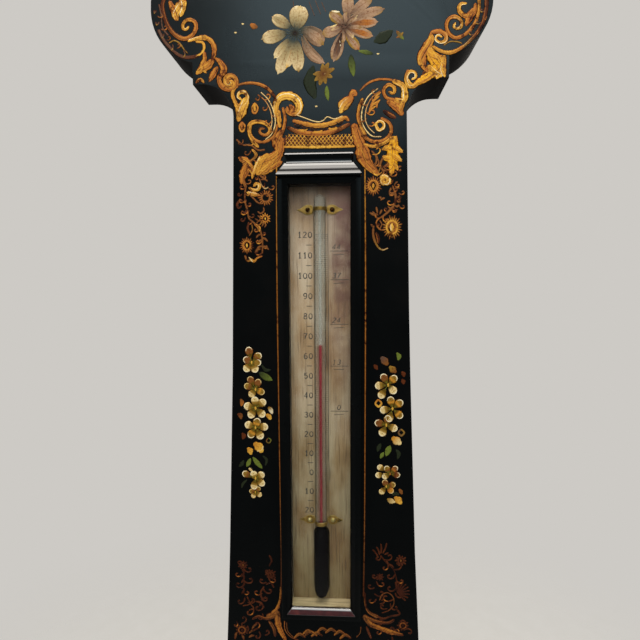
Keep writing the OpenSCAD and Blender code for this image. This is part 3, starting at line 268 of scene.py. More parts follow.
def sideways(points):
    """A sideways unit direction at each point of a path, on the side nearest the upper left."""
    found = []
    for i in range(len(points)):
        (x0, z0), (x1, z1) = points[max(i - 1, 0)], points[min(i + 1, len(points) - 1)]
        far = math.hypot(x1 - x0, z1 - z0) or 1.0
        found.append(((z0 - z1) / far, (x1 - x0) / far))
    flip = 1 if sum(0.87 * z - 0.5 * x for x, z in found) > 0 else -1
    return [(flip * x, flip * z) for x, z in found]


def gild(tones, widths, path):
    """A gilt band; a broad one gets a light line along its upper edge and a dark one along its lower."""
    brush(gilt_strokes, tones, widths, path)
    points, broad = gilt_strokes[-1][2], max(widths)
    if broad > 1.7 and len(points) > 2:
        for tone_of, out, wide, least, most in ((LIGHTER, 0.2, 0.16, 0.3, 0.6), (DARKER, -0.17, 0.13, 0.25, 0.5)):
            off = out * broad
            line = [(x + nx * off, z + nz * off) for (x, z), (nx, nz) in zip(points, sideways(points))]
            pen = min(max(wide * broad, least), most)
            brush(gilt_strokes, "".join(tone_of.get(t, t) for t in tones), (pen * 0.5, pen, pen * 0.5), line, 0.05)


def mirrored(tones, widths, path):
    """A gilt band and its twin across the middle."""
    gild(tones, widths, path)
    gild(tones, widths, [(-x, z) for x, z in path])


def noted(draw, right, down, notes):
    """Draws strokes from notes: tones and widths, a colon, then places along the stroke. A | parts strokes of the
    same paint. Widths and places are tenths of a millimetre, to the right of and down from a corner given in mm."""
    for note in notes.split(";"):
        load, paths = note.split(":")
        tones, *widths = load.split()
        for path in paths.split("|"):
            tenths = [int(v) for v in path.split()]
            draw(tones, [int(w) / 10 for w in widths],
                 [(right + x / 10, down - z / 10) for x, z in zip(tenths[::2], tenths[1::2])])


def tendrils(tones, gap, reach, path):
    """Small gilt curls thrown off a stem, now left, now right."""
    numbers = [float(v) for v in path.split()]
    points, i, left = list(zip(numbers[::2], numbers[1::2])), 0, 0.0
    for (x0, z0), (x1, z1) in zip(points, points[1:]):
        far = math.hypot(x1 - x0, z1 - z0)
        while left < far:
            x, z = x0 + (x1 - x0) * left / far, z0 + (z1 - z0) * left / far
            side = 1 if i % 2 else -1
            heading, step = math.atan2(z1 - z0, x1 - x0) + side * 0.7, reach * (0.75 + 0.5 * (i * 0.618 % 1)) / 6
            curl = [(x, z)]
            for k in range(7):
                ahead = step * (1.15 - 0.1 * k)
                x, z = x + ahead * math.cos(heading), z + ahead * math.sin(heading)
                heading += side * (0.35 + 0.12 * k)
                curl.append((x, z))
            tone = tones[i % len(tones)]
            brush(gilt_strokes, tone, (0.35, 0.6, 0.75, 0.6, 0.75), curl)
            brush(gilt_strokes, LIGHTER.get(tone, tone), (0.5, 0.8, 0.3), curl[2:5], 0.045)
            left, i = left + gap * (0.8 + 0.4 * (i * 0.382 % 1)), i + 1
        left -= far


def aster(x, z, r, rays, tones, core="", tall=1.0):
    """A gilt aster: short rays round a heavy ring, dark inside, with a bright seed head."""
    wide = 3.4 * r / rays
    for i in range(rays):
        c, s = math.cos(2 * math.pi * i / rays), tall * math.sin(2 * math.pi * i / rays)
        reach = 1.0 if i % 2 else 0.86
        brush(gilt_strokes, tones, (wide * 0.7, wide, wide * 0.45), [(x + r * f * c, z + r * f * s)
                                                                    for f in (0.5, 0.74, reach)])
    turn = [k * math.pi / 6 for k in range(13)]
    for out, tone, pen, rise in ((0.52, tones[0], 0.24, 0.045), (0.56, LIGHTER.get(tones[0], "g"), 0.1, 0.055)):
        brush(gilt_strokes, tone, (r * pen,), [(x + r * out * math.cos(a), z + r * out * tall * math.sin(a))
                                              for a in turn], rise)
    if core:
        brush(gilt_strokes, core, (r * 0.2, r * 0.34, r * 0.2), [(x, z + r * 0.18 * tall), (x, z),
                                                                (x, z - r * 0.18 * tall)], 0.05)


# head border, left lobe
noted(gild, -92, -154, """
    rroogy 19 22 25 22 19 13 : 48 5 39 36 45 81 62 135 92 181 129 209 168 217 206 198 227 163 223 132 199
        117 170 121 152 143 156 164 173 167 184 154;
    oo 24 44 15 : 87 38 105 65 116 112;
    yy 34 39 19 : 155 9 159 45 143 89;
    mr 13 16 15 : 8 169 24 215 56 250 98 287 141 313 188 319 232 312;
    mm 5 8 5 : 20 31 30 85 35 152 65 194;
    tt 5 9 5 : 71 237 100 225 131 241 154 273 175 296;
    ygoo 15 29 30 15 : 186 229 230 218 273 215 310 233 329 274 322 323 306 359;
    gy 13 16 10 : 229 235 263 241 271 270 254 299 222 314;
    og 19 32 15 : 271 299 272 335 254 366 275 401;
    o 19 19 : 264 353 244 380;
    oooogy 16 29 31 25 19 13 : 337 330 365 356 388 377 380 406 353 435 362 474 395 497 433 494 451 462 439
        430 411 421 385 438 387 469 410 479 423 462;
    oo 21 39 15 : 340 382 320 414 298 447;
    og 13 19 12 : 222 454 243 439 262 455""")
# head border, right lobe
noted(gild, -84, -155, """
    oyg 28 57 49 15 : 83 3 53 37 31 71 42 101;
    oo 19 32 19 : 3 10 19 42 35 68;
    og 23 49 42 19 : 238 327 210 357 178 372 148 395;
    oo 21 40 21 : 271 328 298 370 286 407""")
noted(gild, 48, -160, """
    rrrt 19 21 19 13 : 433 9 430 61 418 121 388 180 353 223 313 248;
    goooyy 16 19 21 21 18 13 : 393 8 392 64 374 124 339 170 299 195 263 198 231 171 220 132 234 99 265 90
        296 108 301 139 280 153 260 141 267 126;
    ygoo 12 24 29 19 : 322 23 295 26 286 52 305 80 342 92 368 72 374 33;
    oo 24 47 19 : 363 59 346 88 329 131;
    ooyy 19 27 16 11 : 136 181 150 166 186 165 217 184 216 214 187 221 163 204 173 184 193 192;
    gog 24 37 19 : 139 185 126 224 101 263 81 302 76 328;
    ggo 15 23 16 : 151 243 192 267 237 277 282 267 318 246;
    t 5 7 5 : 209 236 241 219 281 221 304 230;
    go 29 53 29 : 129 282 170 300 215 315 243 347;
    gy 24 44 19 : 225 324 243 360 230 397;
    oo 19 34 19 : 106 303 98 342 121 369;
    gy 24 47 24 : 130 348 162 379 190 396;
    gggyy 24 29 24 19 13 : 189 385 153 388 121 412 94 435 60 451 26 437 6 402 23 372 52 377 57 402 39 411;
    gog 27 49 52 44 20 : 144 197 124 228 100 265 83 300 81 330;
    gfg 35 68 76 65 35 : 127 254 150 298 178 335 202 362 223 383;
    gf 23 52 35 : 173 301 191 323 205 347;
    gg 26 38 35 21 : 230 301 238 326 243 353 236 380;
    gff 61 58 45 35 : 191 351 151 378 114 403 75 429;
    fy 23 30 17 : 174 375 181 392 174 406;
    d 3 8 3 : 149 260 172 272 204 280;
    d 6 12 5 : 83 336 101 344 124 340;
    d 3 7 3 : 148 322 157 332 168 340;
    d 3 6 3 : 168 321 159 331 147 343;
    ro 6 8 6 : 95 386 105 371 119 378 118 393 104 396 100 387;
    d 2 5 2 : 194 351 178 367 151 382 | 217 360 227 352 231 336""")
tendrils("mb", 3.6, 4.9, "-91.9 -160.2  -89.7 -169.1  -86.2 -176  -81.1 -180.3  -74.9 -182.9")
tendrils("mb", 3.6, 4.9, "90.3 -166.5  88.1 -174  84.3 -179.5  79.5 -184.1")
# shoulder scrolls, left
noted(gild, -53, -196, """
    og 19 25 19 : 63 63 62 29 36 8 8 27 13 62 38 66 42 42 28 35;
    boob 9 15 19 13 : 56 63 99 50 156 48 213 64 255 95 284 136;
    ggyy 19 25 22 15 : 57 63 37 103 40 153 75 173 111 154 123 123 105 97 78 99 68 120 83 133;
    yg 44 70 29 : 111 146 89 194 65 243;
    g 22 36 22 : 50 162 49 200 63 234;
    gog 10 12 10 : 165 160 181 182 171 211 153 209 148 181 163 160;
    g 19 15 : 162 175 164 195;
    ogo 10 12 10 : 89 262 105 283 95 311 80 308 74 283 88 262;
    o 16 10 : 87 276 88 298;
    cc 5 7 5 : 202 101 242 141 269 198 280 267 260 327 223 359;
    oc 4 6 4 : 184 114 226 149 254 204 261 266 248 307;
    ooggob 12 17 25 22 16 10 : 292 281 275 336 231 368 179 370 141 341 127 298 142 268 181 260 224 272 249
        300 237 329 210 334 189 317 198 297 215 300;
    gg 15 28 17 : 139 270 131 319 150 368 177 397;
    gyyyoo 32 44 52 48 32 15 : 285 215 286 168 308 132 347 122 389 134 416 169 411 205 384 223 355 210 349
        188;
    o 22 29 15 : 368 180 382 201 367 217;
    oooo 15 20 19 22 : 325 192 336 247 328 295 310 343 290 391 294 454;
    g 22 28 22 : 299 209 301 247 304 285;
    oo 29 44 32 : 309 322 280 370 294 419;
    og 36 54 22 : 311 419 257 460 210 477 166 507;
    og 29 48 17 : 297 461 242 503 180 551;
    o 22 36 17 : 307 489 271 509 234 529;
    o 19 39 22 : 73 460 112 477 145 528;
    gb 12 19 10 : 147 416 167 447 125 487;
    b 7 10 7 : 50 358 92 387 136 388 178 417 214 417;
    o 22 44 19 : 123 485 91 541 80 597""")
tendrils("bob", 4.4, 6.6, "-33.9 -207.7  -30.3 -211  -27.6 -216.4  -27 -222.6  -28.5 -226.7")
tendrils("bo", 4.4, 7.3, "-43.7 -231.9  -39.5 -237.6  -38.1 -243.2  -41.1 -248.7")
# valance in the middle
noted(gild, -20, -219, """
    c 5 7 5 : 76 0 122 17 168 34 200 39 227 29 246 12 285 25 330 10;
    ogo 19 31 29 16 : 58 31 122 49 193 60 271 48 341 20 362 33;
    roor 16 32 33 16 : 24 67 93 95 192 105 284 92 366 57;
    d 7 12 7 : 61 53 79 64 98 52 | 103 66 122 78 140 66 | 153 73 171 84 190 72 | 203 71 221 83 239 71 | 252
        60 270 71 289 60 | 294 42 313 53 331 41;
    g 10 15 10 : 86 81 107 86 129 78 | 171 93 193 97 214 89 | 256 77 277 81 299 73;
    gyg 12 17 12 : 0 172 192 177 394 177;
    gy 4 4 4 : 10 133 33 105 | 10 161 55 107 | 28 165 76 108 | 50 166 97 110 | 71 166 119 112 | 93 167 140
        114 | 114 167 161 115 | 135 168 182 117 | 157 168 204 117 | 178 168 225 116 | 199 169 246 115 | 221
        169 267 115 | 242 170 289 114 | 263 170 310 113 | 284 171 331 112 | 306 171 352 112 | 327 171 373
        111 | 348 172 390 116 | 369 172 390 145;
    yg 4 4 4 : 28 165 10 141 | 50 166 10 112 | 71 166 25 104 | 93 167 46 106 | 114 167 67 107 | 135 168 89
        109 | 157 168 110 111 | 178 168 131 113 | 199 169 153 115 | 221 169 174 116 | 242 170 195 118 | 263
        170 217 117 | 284 171 238 116 | 306 171 259 115 | 327 171 280 115 | 348 172 301 114 | 369 172 323
        113 | 390 173 344 112 | 390 145 365 111""")
brush(gilt_strokes, "r", (4.8, 5.4, 4.8), [(-18.6, -232.9), (-0.8, -233.7), (18, -233.4)], 0.015)
# shoulder scrolls, right
noted(gild, 12, -196, """
    oy 44 66 29 : 53 151 21 177 3 211;
    o 29 41 29 : 59 131 70 116 80 121;
    boob 7 12 13 10 : 110 105 153 67 209 48 271 50 306 63;
    gyg 26 42 29 : 299 61 347 87 373 135 351 168 310 162;
    oogg 17 20 20 13 : 310 162 257 147 240 107 268 78 299 95 296 124 272 117;
    oo 29 51 29 : 272 173 314 200 342 232;
    go 22 36 19 : 365 162 373 203 342 233;
    oyg 19 26 22 : 374 9 364 48 382 89 416 83;
    cc 6 7 6 : 206 98 155 138 125 197 118 259 137 312 177 353 226 357;
    oc 4 6 4 : 220 111 175 145 146 198 139 258 156 303 189 337;
    gog 15 19 15 : 122 153 104 196 98 250 114 298 140 347;
    go 6 15 6 : 223 118 199 138 189 164 | 216 138 185 162 168 191 | 209 165 178 185 161 211 | 196 192 170
        209 157 231 | 220 158 204 176 203 199;
    r 15 29 12 : 245 220 279 241 304 255;
    yyy 19 17 13 : 198 293 214 322 241 309 241 285 220 272 199 285;
    ooob 15 22 22 17 : 232 259 274 287 283 336 247 376 191 385 140 360 107 312;
    oooo 44 66 58 36 15 : 79 304 94 359 114 408 115 463 138 505 176 540 215 563;
    ggg 15 23 19 : 134 398 183 410 239 395 287 367 312 378;
    fff 32 72 76 32 : 301 372 295 426 293 481 291 539;
    fg 36 40 9 : 287 420 318 427 346 444;
    fg 32 38 9 : 290 456 318 475 341 492;
    fg 30 35 8 : 287 426 260 420 235 428;
    fg 30 36 8 : 286 474 258 476 239 466;
    fg 30 32 6 : 291 517 288 548 284 572;
    fg 30 32 8 : 297 395 307 375 313 359;
    fg 23 28 6 : 290 505 313 524 321 543;
    b 3 5 3 : 295 391 292 444 290 505 | 294 426 312 430 330 440 | 291 456 275 453 255 462 | 291 474 307 487
        323 492;
    b 7 15 7 : 176 436 204 471 197 512 | 239 472 225 513 247 555""")
tendrils("bo", 4.1, 6.6, "32.2 -208.4  28.1 -212.4  26.3 -217.7  26.7 -223.2  28.8 -227.3")
tendrils("bgb", 4.4, 8, "27.5 -238.9  31.7 -243.1  35.9 -245.9  35.3 -251.5")
# left drop
noted(gild, -49, -232, """
    oog 32 58 26 : 272 4 266 64 242 119 210 170;
    og 32 53 16 : 264 84 216 124 184 174 147 184;
    gg 26 53 16 : 190 88 158 128 131 189;
    yg 16 32 13 : 154 98 132 138 104 203;
    og 21 37 21 : 38 108 64 121 100 152;
    oob 26 42 21 10 : 89 152 62 187 49 218 66 259;
    g 11 21 8 : 84 162 105 188 102 214;
    bbbb 7 10 10 7 : 66 254 58 305 59 352 72 398 79 440 110 469 139 500 153 545 156 592 154 639;
    gyg 14 23 16 : 87 270 108 280 135 278 143 255 127 244 114 255;
    yo 16 29 11 : 76 295 108 303 142 312;
    bc 5 8 5 : 144 219 156 255 177 274 193 266;
    b 7 13 7 : 147 199 167 215 188 230;
    b 6 10 5 : 173 184 194 180 205 159;
    bb 6 10 6 : 87 275 100 278 89 306 107 327 134 353 160 358;
    bb 5 10 5 : 133 404 148 415 167 400 165 382;
    og 13 23 11 : 115 477 136 493 139 513;
    b 4 10 4 : 132 428 147 441 139 454 | 116 444 131 456 123 470 | 148 459 162 472 155 486 | 163 465 178 477
        171 491;
    bb 6 13 4 : 150 534 133 538 120 552 | 158 566 141 570 128 583 | 152 602 135 606 122 620 | 156 555 173
        560 185 573 | 160 602 177 607 190 620 | 141 618 124 622 111 636;
    bo 7 7 : 44 596 65 569 85 596 64 624 44 596;
    bgo 10 16 8 : 53 659 66 686 88 681 106 689 123 670 150 660;
    c 5 11 5 : 75 665 85 678 96 691;
    r 5 13 5 : 37 403 58 409 80 399 | 78 471 70 497 80 528;
    r 7 16 6 : 6 367 17 351 33 338;
    tb 4 7 4 : 95 477 98 508 80 539""")
aster(-31.1, -264.5, 4.4, 18, "bo")
aster(-31.6, -276.4, 3.2, 12, "og", core="y")
aster(-42.6, -291.6, 4.2, 20, "ob", core="y", tall=1.12)
tendrils("bro", 3.3, 5.3, "-40.8 -247.2  -42.8 -250.7  -44 -253.8  -42.6 -257.9  -43.2 -262.5  -43.1 -267.2  "
         "-41.8 -271.8  -41.1 -276  -38 -278.9  -35.1 -282  -33.7 -286.5  -33.4 -291.2  -33.7 -296.4")
tendrils("rb", 3.2, 4.8, "-35.4 -252.4  -32.8 -255  -29.7 -258.6  -28.2 -262.8")
tendrils("qr", 3.7, 4.8, "-45.1 -262.5  -45.7 -267.7  -44.8 -272.8  -42.7 -277")
# right drop
noted(gild, 20, -227, """
    ooo 48 64 48 21 : 4 8 24 68 60 134 84 194 127 245;
    bt 5 8 5 : 150 186 143 221 130 250;
    rg 7 7 : 86 318 105 290 124 318 105 346 86 318;
    yyg 21 30 21 : 151 271 168 264 192 282 187 302 164 304 151 289 163 281;
    b 8 11 : 169 279 175 291;
    bb 5 12 4 : 199 307 192 306 179 312 | 205 332 203 339 195 352 | 225 312 236 302 240 298 | 230 333 244
        330 251 333 | 215 358 211 362 200 373 | 158 231 174 236 184 246 | 168 211 181 203 188 201 | 240 222
        253 214 260 213 | 250 237 258 232 260 233 | 149 397 162 389 169 387 | 138 382 147 384 149 392;
    bbb 8 16 13 7 : 215 322 228 358 233 393 221 429 196 459 160 489 129 507;
    bb 5 13 4 : 231 376 246 386 253 375 | 236 402 252 411 259 401 | 226 427 242 436 249 426 | 190 436 206
        446 213 436 | 200 355 215 365 222 355;
    bb 4 13 6 : 123 438 126 453 129 468 | 154 453 149 463 144 474 | 87 468 100 476 113 483 | 103 463 113 476
        124 489 | 93 534 101 542 108 550;
    ob 7 10 6 : 139 499 124 519 129 545 150 566 170 561;
    b 5 8 5 : 144 514 155 535 145 555;
    bo 8 12 8 : 191 551 209 523 232 546 222 577 196 587;
    y 16 26 16 : 212 536 211 551 213 572;
    bbtc 11 14 10 5 : 107 545 106 591 115 627 135 663 161 679 189 669;
    r 7 21 7 : 124 581 132 607 135 638""")
aster(30.5, -258.8, 4.9, 20, "ob", core="g", tall=1.12)
aster(41.3, -282.1, 5.7, 24, "gb", core="y", tall=1.18)
tendrils("bro", 3.2, 5.3, "34.8 -246.1  37.8 -250.1  40.9 -254.2  42.5 -258.2  43.1 -262.8  43.3 -266.3  "
         "42.1 -269.9  39.6 -272.9  36 -275.9  32.9 -277.7  30.9 -281.5")
tendrils("rb", 3.2, 4.8, "44.1 -260.8  45.4 -264.3  45.4 -268.4  44.2 -272.4")
# low neck and foot, in darker tones: painted shade where the light falls off down the neck
noted(gild, -55, -481, """
    q 5 10 4 : 229 0 242 32 228 64;
    q 4 10 4 : 58 94 68 116 53 140 | 64 131 67 153 53 178 | 71 168 67 191 52 215 | 56 206 66 228 51 253;
    rq 5 11 5 : 190 205 170 243 180 281 200 271;
    r 5 14 5 : 139 301 170 309 188 337;
    r 4 6 4 : 86 274 107 321 125 344 98 359 | 60 332 98 321 121 292;
    q 4 7 4 : 208 186 235 176 252 203;
    bob 7 15 22 30 : 299 202 292 286 264 353 218 397;
    brq 21 19 9 : 259 391 205 412 155 399 119 417;
    boo 30 42 34 18 : 273 372 276 438 293 494 320 545;
    bq 12 22 10 : 222 430 249 477 257 524;
    br 6 15 6 : 114 482 127 461 141 452 | 95 511 113 495 131 491 | 13 514 8 528 3 553 | 49 532 54 538 58 555
        | 94 540 108 529 122 529;
    or 4 5 4 : 317 427 320 483 356 529 400 545;
    b 3 4 3 : 330 436 336 488 370 529;
    obr 9 21 9 : 379 532 410 506 442 526 | 433 506 463 481 495 500 | 486 519 517 493 549 512;
    bo 6 19 7 : 445 516 481 488 517 514""")
noted(gild, -3, -471, """
    b 3 4 3 : 271 546 267 584 245 613;
    obr 9 21 9 : 2 589 32 563 64 583 | 55 591 86 566 118 585 | 109 604 139 578 171 597 | 144 626 174 600 206
        620;
    qrb 7 12 21 : 292 322 299 396 319 446 367 474;
    brq 19 21 9 : 302 480 367 505 437 512 472 492;
    rq 9 11 6 : 367 472 411 485 455 469 507 454 493 426;
    bo 30 34 19 : 297 480 332 525 394 551 464 581;
    or 16 30 12 : 411 550 464 572 525 588;
    r 6 15 6 : 306 545 320 582 333 615;
    br 4 6 4 : 386 365 401 329 436 317 467 344 471 390 445 428 402 448;
    q 4 9 4 : 497 315 487 286 481 249 | 497 315 497 284 502 245 | 497 315 507 285 524 249 | 497 315 515 291
        543 260 | 497 315 522 299 556 277 | 497 315 526 309 563 299 | 497 315 525 321 563 322 | 497 315 522
        331 555 344 | 497 315 515 339 541 362;
    rq 5 10 3 : 382 71 377 49 365 26 | 391 62 394 34 391 7 | 404 61 418 32 425 2 | 374 90 362 67 343 45 |
        417 70 429 65 434 61 | 426 116 434 129 435 143 | 443 133 460 144 469 155;
    q 3 4 3 : 391 80 426 125 469 169 487 233 488 297""")
aster(-48.7, -487.5, 2.8, 9, "q", core="b")
aster(-31.4, -493.2, 3.2, 10, "q", core="r")
tendrils("qqr", 4, 8, "-48.1 -486.1  -49.3 -492.6  -48.3 -500.1  -49.5 -506.7  -45.2 -513.1  -40.7 -516.7  "
         "-35.4 -520.3")
tendrils("qrq", 4, 7.5, "-31.4 -492.1  -36 -501.5  -37.9 -508.2  -36.2 -514.7")
tendrils("rqq", 4.2, 7.5, "-53.5 -524.8  -49 -526.5  -43.6 -529.2  -38.3 -531.8  -32.9 -534.5")
aster(-50.2, -530.4, 3.8, 12, "rq", core="q")
tendrils("qqr", 4, 8, "36.1 -479  39.6 -483.5  43.9 -487.9  45.7 -494.3  45.8 -500.7  43.2 -508.2  38.1 -515.8")
tendrils("qrq", 4, 7.5, "34.5 -492.8  31.9 -501.2  33.7 -508.5  38.9 -512")
tendrils("qqr", 4.2, 7.5, "31.1 -521.6  37.3 -527  43.4 -531.5  49.5 -528.4  52.9 -520.8")
aster(48.2, -481.8, 3.3, 10, "qr", core="b")
aster(35.5, -492.7, 2.2, 8, "q", core="r")
aster(49.9, -523.7, 3.3, 10, "rq", core="q")
# gilt lines beside the box, gold at the top going to brown at the foot: painted shade of the light falling off down
# the neck
noted(gild, -26, -246, """
    gobr 6 7 6 5 : 14 8 8 774 11 1992 13 2375 9 2570 | 518 83 523 776 522 1981 519 2360 516 2580""")
# The same manner carried on where the photo ends, in mirrored pairs: over the top of the head
noted(mirrored, 0, 0, """
    rrog 16 22 22 16 : 872 1545 885 1470 868 1380 810 1290 720 1190 630 1120 570 1040;
    ogy 14 24 14 : 570 1040 500 1030 470 1090 510 1140 560 1110 540 1080;
    oog 26 50 20 : 800 1280 730 1290 660 1340;
    gy 24 46 16 : 700 1170 630 1210 600 1280;
    rog 16 20 16 : 560 1030 440 900 330 760 250 620 200 470 190 360;
    ogy 16 26 12 : 190 360 130 340 100 400 140 450 170 410;
    oo 20 50 16 : 430 900 360 950 280 960;
    gy 20 42 14 : 310 740 240 790 180 860;
    go 16 34 14 : 200 500 150 560 130 640""")
# down the neck to the dial and on the pendant
noted(mirrored, 0, 0, """
    gob 9 11 11 9 : 330 5600 360 6000 380 6400 460 6680 600 6840;
    oog 20 50 30 14 : 460 6640 580 6760 720 6800 800 6760;
    ogy 14 26 20 12 : 140 10030 260 9960 340 9840 360 9700 280 9640 220 9700 260 9760;
    oog 14 44 14 : 300 9900 360 9820 380 9720;
    og 12 34 10 : 40 10080 90 9980 140 9880;
    gob 10 14 10 : 440 9580 380 9520 300 9480 220 9500""")
gild("oyg", (1.4, 4, 1.2), [(0, -1012), (0, -1000), (0, -984)])
# a palmette and an aster at the crown
for lean, reach in ((0, 20), (-38, 15), (38, 15), (-76, 10), (76, 10)):
    s, c = math.sin(math.radians(lean)), math.cos(math.radians(lean))
    gild("oyg", (1.2, 3.4, 1.0), [(s * reach * f, -34 + c * reach * f * 0.8) for f in (0.1, 0.55, 1.0)])
aster(0, -52, 5.5, 18, "og", core="y")
# scrolls down the lower neck
for z0 in (-560, -596, -630):
    w = 40 + (z0 + 560) * -0.11
    mirrored("bor", (0.9, 1.6, 0.9), [(w - 14, z0), (w - 4, z0 - 8), (w + 2, z0 - 20), (w - 6, z0 - 28),
                                      (w - 12, z0 - 22)])
    mirrored("ob", (0.8, 3, 0.8), [(w, z0 - 8), (w + 6, z0 - 4), (w + 10, z0 - 8)])
    mirrored("ob", (0.8, 3, 0.8), [(w - 2, z0 - 24), (w - 10, z0 - 32), (w - 18, z0 - 30)])
    for side in (1, -1):
        aster(side * (w - 9), z0 - 22, 4.2, 14, "ob", core="y")


def on_dial(radius, turn):
    """A place round the dial's centre (mm), by radius and degrees clockwise from the top."""
    return radius * math.sin(math.radians(turn)), Z_DIAL / MM + radius * math.cos(math.radians(turn))


# two lines round the dial, with asters and leaves between them
INNER_LINE, OUTER_LINE, BETWEEN = 117.5, 133.5, 125.5
for radius, wide in ((INNER_LINE, 1.0), (OUTER_LINE, 1.5)):
    for first in range(0, 360, 90):
        gild("gog", (wide,), [on_dial(radius, 90 - a) for a in range(first, first + 91, 6)
                              if radius == INNER_LINE or abs(math.sin(math.radians(a))) < 0.84])
for turn in (72, 50, 28, -28, -50, -72, -108, -130, -152, -208, -230, -252):
    if turn in (50, -50, -130, -230):
        aster(*on_dial(BETWEEN, turn), 4.6, 16, "og", core="y")
        continue
    for flip in (-1, 1):
        gild("oyg", (1.0, 1.8, 0.8), [on_dial(BETWEEN + 4.6 * math.sin(t * 2.6), turn + flip * t * 7)
                                      for t in (0, 0.3, 0.6, 0.9, 1.2)])
    gild("oo", (0.8, 3.2, 0.8), [on_dial(q, turn) for q in (119, 125, 131)])
aster(0, -974, 6.4, 20, "og", core="y")

# ---- Painted flowers --------------------------------------------------------------------------------------
# A bouquet on the head and sprays down both sides of the thermometer, in oil colours on the lacquer: dull green
# leaves, petals of strokes laid side by side, pale rims and seed heads.


def paint(tones, widths, path):
    """A plain stroke of oil paint."""
    brush(paint_strokes, tones, widths, path)


def petal(inner, outer, wide, x0, z0, x1, z1, bend=0.0):
    """A painted petal from its base to its tip: five strokes side by side, pale outside, shaded inside."""
    far = math.hypot(x1 - x0, z1 - z0)
    nx, nz = (z0 - z1) / far, (x1 - x0) / far
    for share, tones, rise in ((-1, outer, 0.03), (1, outer, 0.033), (-0.5, inner, 0.036), (0.5, inner, 0.039),
                               (0, inner, 0.042)):
        path = [(x0 + (x1 - x0) * f + nx * (share * wide * out + bend * f * (1 - f) * 4),
                 z0 + (z1 - z0) * f + nz * (share * wide * out + bend * f * (1 - f) * 4))
                for f, out in ((0, 0.06), (0.3, 0.24), (0.62, 0.31), (0.86, 0.2), (1 - 0.06 * abs(share), 0.04))]
        brush(paint_strokes, tones, (wide * 0.16, wide * 0.36, wide * 0.4, wide * 0.3, wide * 0.1), path, rise)
    brush(paint_strokes, DARKER.get(inner[-1], "b"), (0.25, 0.35, 0.2),
          [(x0 + (x1 - x0) * f + nx * bend * f * (1 - f) * 4, z0 + (z1 - z0) * f + nz * bend * f * (1 - f) * 4)
           for f in (0.3, 0.55, 0.8)], 0.05)


def blossom(x, z, r, rim, core, petals):
    """A painted flower: shaded petals at given places, pale rims and a seed head."""
    words = petals.split()
    for dx, dz, tones in zip(words[::3], words[1::3], words[2::3]):
        dx, dz = float(dx), float(dz)
        far = math.hypot(dx, dz)
        ux, uz = dx / far, dz / far
        px, pz = x + dx, z + dz
        paint("uu" + tones[0] + tones, (r * 0.9, r * 1.7, r * 2.0), [(px + ux * r * f, pz + uz * r * f)
                                                              for f in (-1.25, -0.6, -0.1)])
        lean = math.atan2(uz, ux)
        for tone, out, wide, reach in (("u", 0.2, 0.3, 0.5), (rim, 0.78, 0.3, 1.5)):
            turn = [lean + t * reach for t in (-1, -0.5, 0, 0.5, 1)]
            brush(paint_strokes, tone, (r * wide * 0.4, r * wide, r * wide * 0.4),
                  [(px + r * out * math.cos(a), pz + r * out * math.sin(a)) for a in turn], 0.045)
        brush(paint_strokes, "un", (r * 0.2,), [(x, z), (x + dx * 0.42, z + dz * 0.42)], 0.05)
    brush(paint_strokes, core, (r * 0.4, r * 0.62, r * 0.4), [(x, z + r * 0.22), (x, z), (x, z - r * 0.22)], 0.055)


# bouquet on the head
noted(paint, -48, -157, """
    dss 5 7 4 : 352 177 378 178 396 183 | 352 179 375 189 398 204 | 351 181 367 198 387 226 | 349 182 357
        203 357 218 | 347 182 344 204 334 226 | 345 181 332 200 306 224 | 343 180 322 192 305 197 | 342 178
        317 182 288 181 | 342 176 317 171 281 157 | 343 174 322 161 311 149 | 345 173 332 154 323 131 | 347
        172 344 151 347 118 | 349 172 357 152 367 140 | 351 174 368 158 391 145 | 352 175 375 168 413 161;
    rt 15 32 15 : 504 399 479 399 453 399;
    kk 22 73 29 : 446 364 428 444 453 519;
    ob 22 36 22 : 105 126 115 133 127 137;
    c 7 10 7 : 50 117 54 119 58 118 | 459 573 463 575 467 574 | 8 163 12 164 16 163;
    m 4 9 4 : 338 8 343 41 | 428 18 455 85 | 463 13 490 79""")
noted(paint, -2, -159, """
    w 4 12 4 : 95 47 115 52 135 53 | 135 201 138 220 140 235;
    o 4 12 4 : 221 151 243 163 266 172 | 261 98 291 103 321 104 | 191 193 203 208 216 218;
    c 4 12 4 : 85 132 103 128 120 119;
    mr 8 14 5 : 168 130 188 131 204 140 | 167 133 185 143 195 158 | 165 135 176 151 177 169 | 163 135 163
        154 154 169 | 160 134 150 150 135 159 | 158 132 141 141 123 142 | 158 130 138 129 122 121 | 158 128
        141 117 131 102 | 160 126 150 109 149 91 | 163 125 163 106 172 91 | 165 126 176 110 191 101 | 167
        128 185 119 203 119;
    rt 15 32 15 : 44 379 22 395 0 411 | 44 379 34 406 25 433 | 44 379 66 388 88 397 | 44 379 72 367 100 355
        | 44 379 57 353 71 327 | 44 379 42 355 41 332 | 44 379 50 402 56 426;
    oc 15 22 15 : 35 379 49 379;
    nn 7 29 7 : 63 447 64 484 71 521;
    kn 9 41 9 : 199 283 203 336 213 394;
    nk 9 26 7 : 244 263 286 272 320 281;
    kk 22 66 15 : 334 214 375 196 423 164;
    bn 7 26 10 : 450 165 467 186 485 206;
    bt 7 17 7 : 450 198 471 189 484 173;
    c 7 10 7 : 344 281 348 282 352 281;
    m 4 9 4 : 37 0 58 47""")
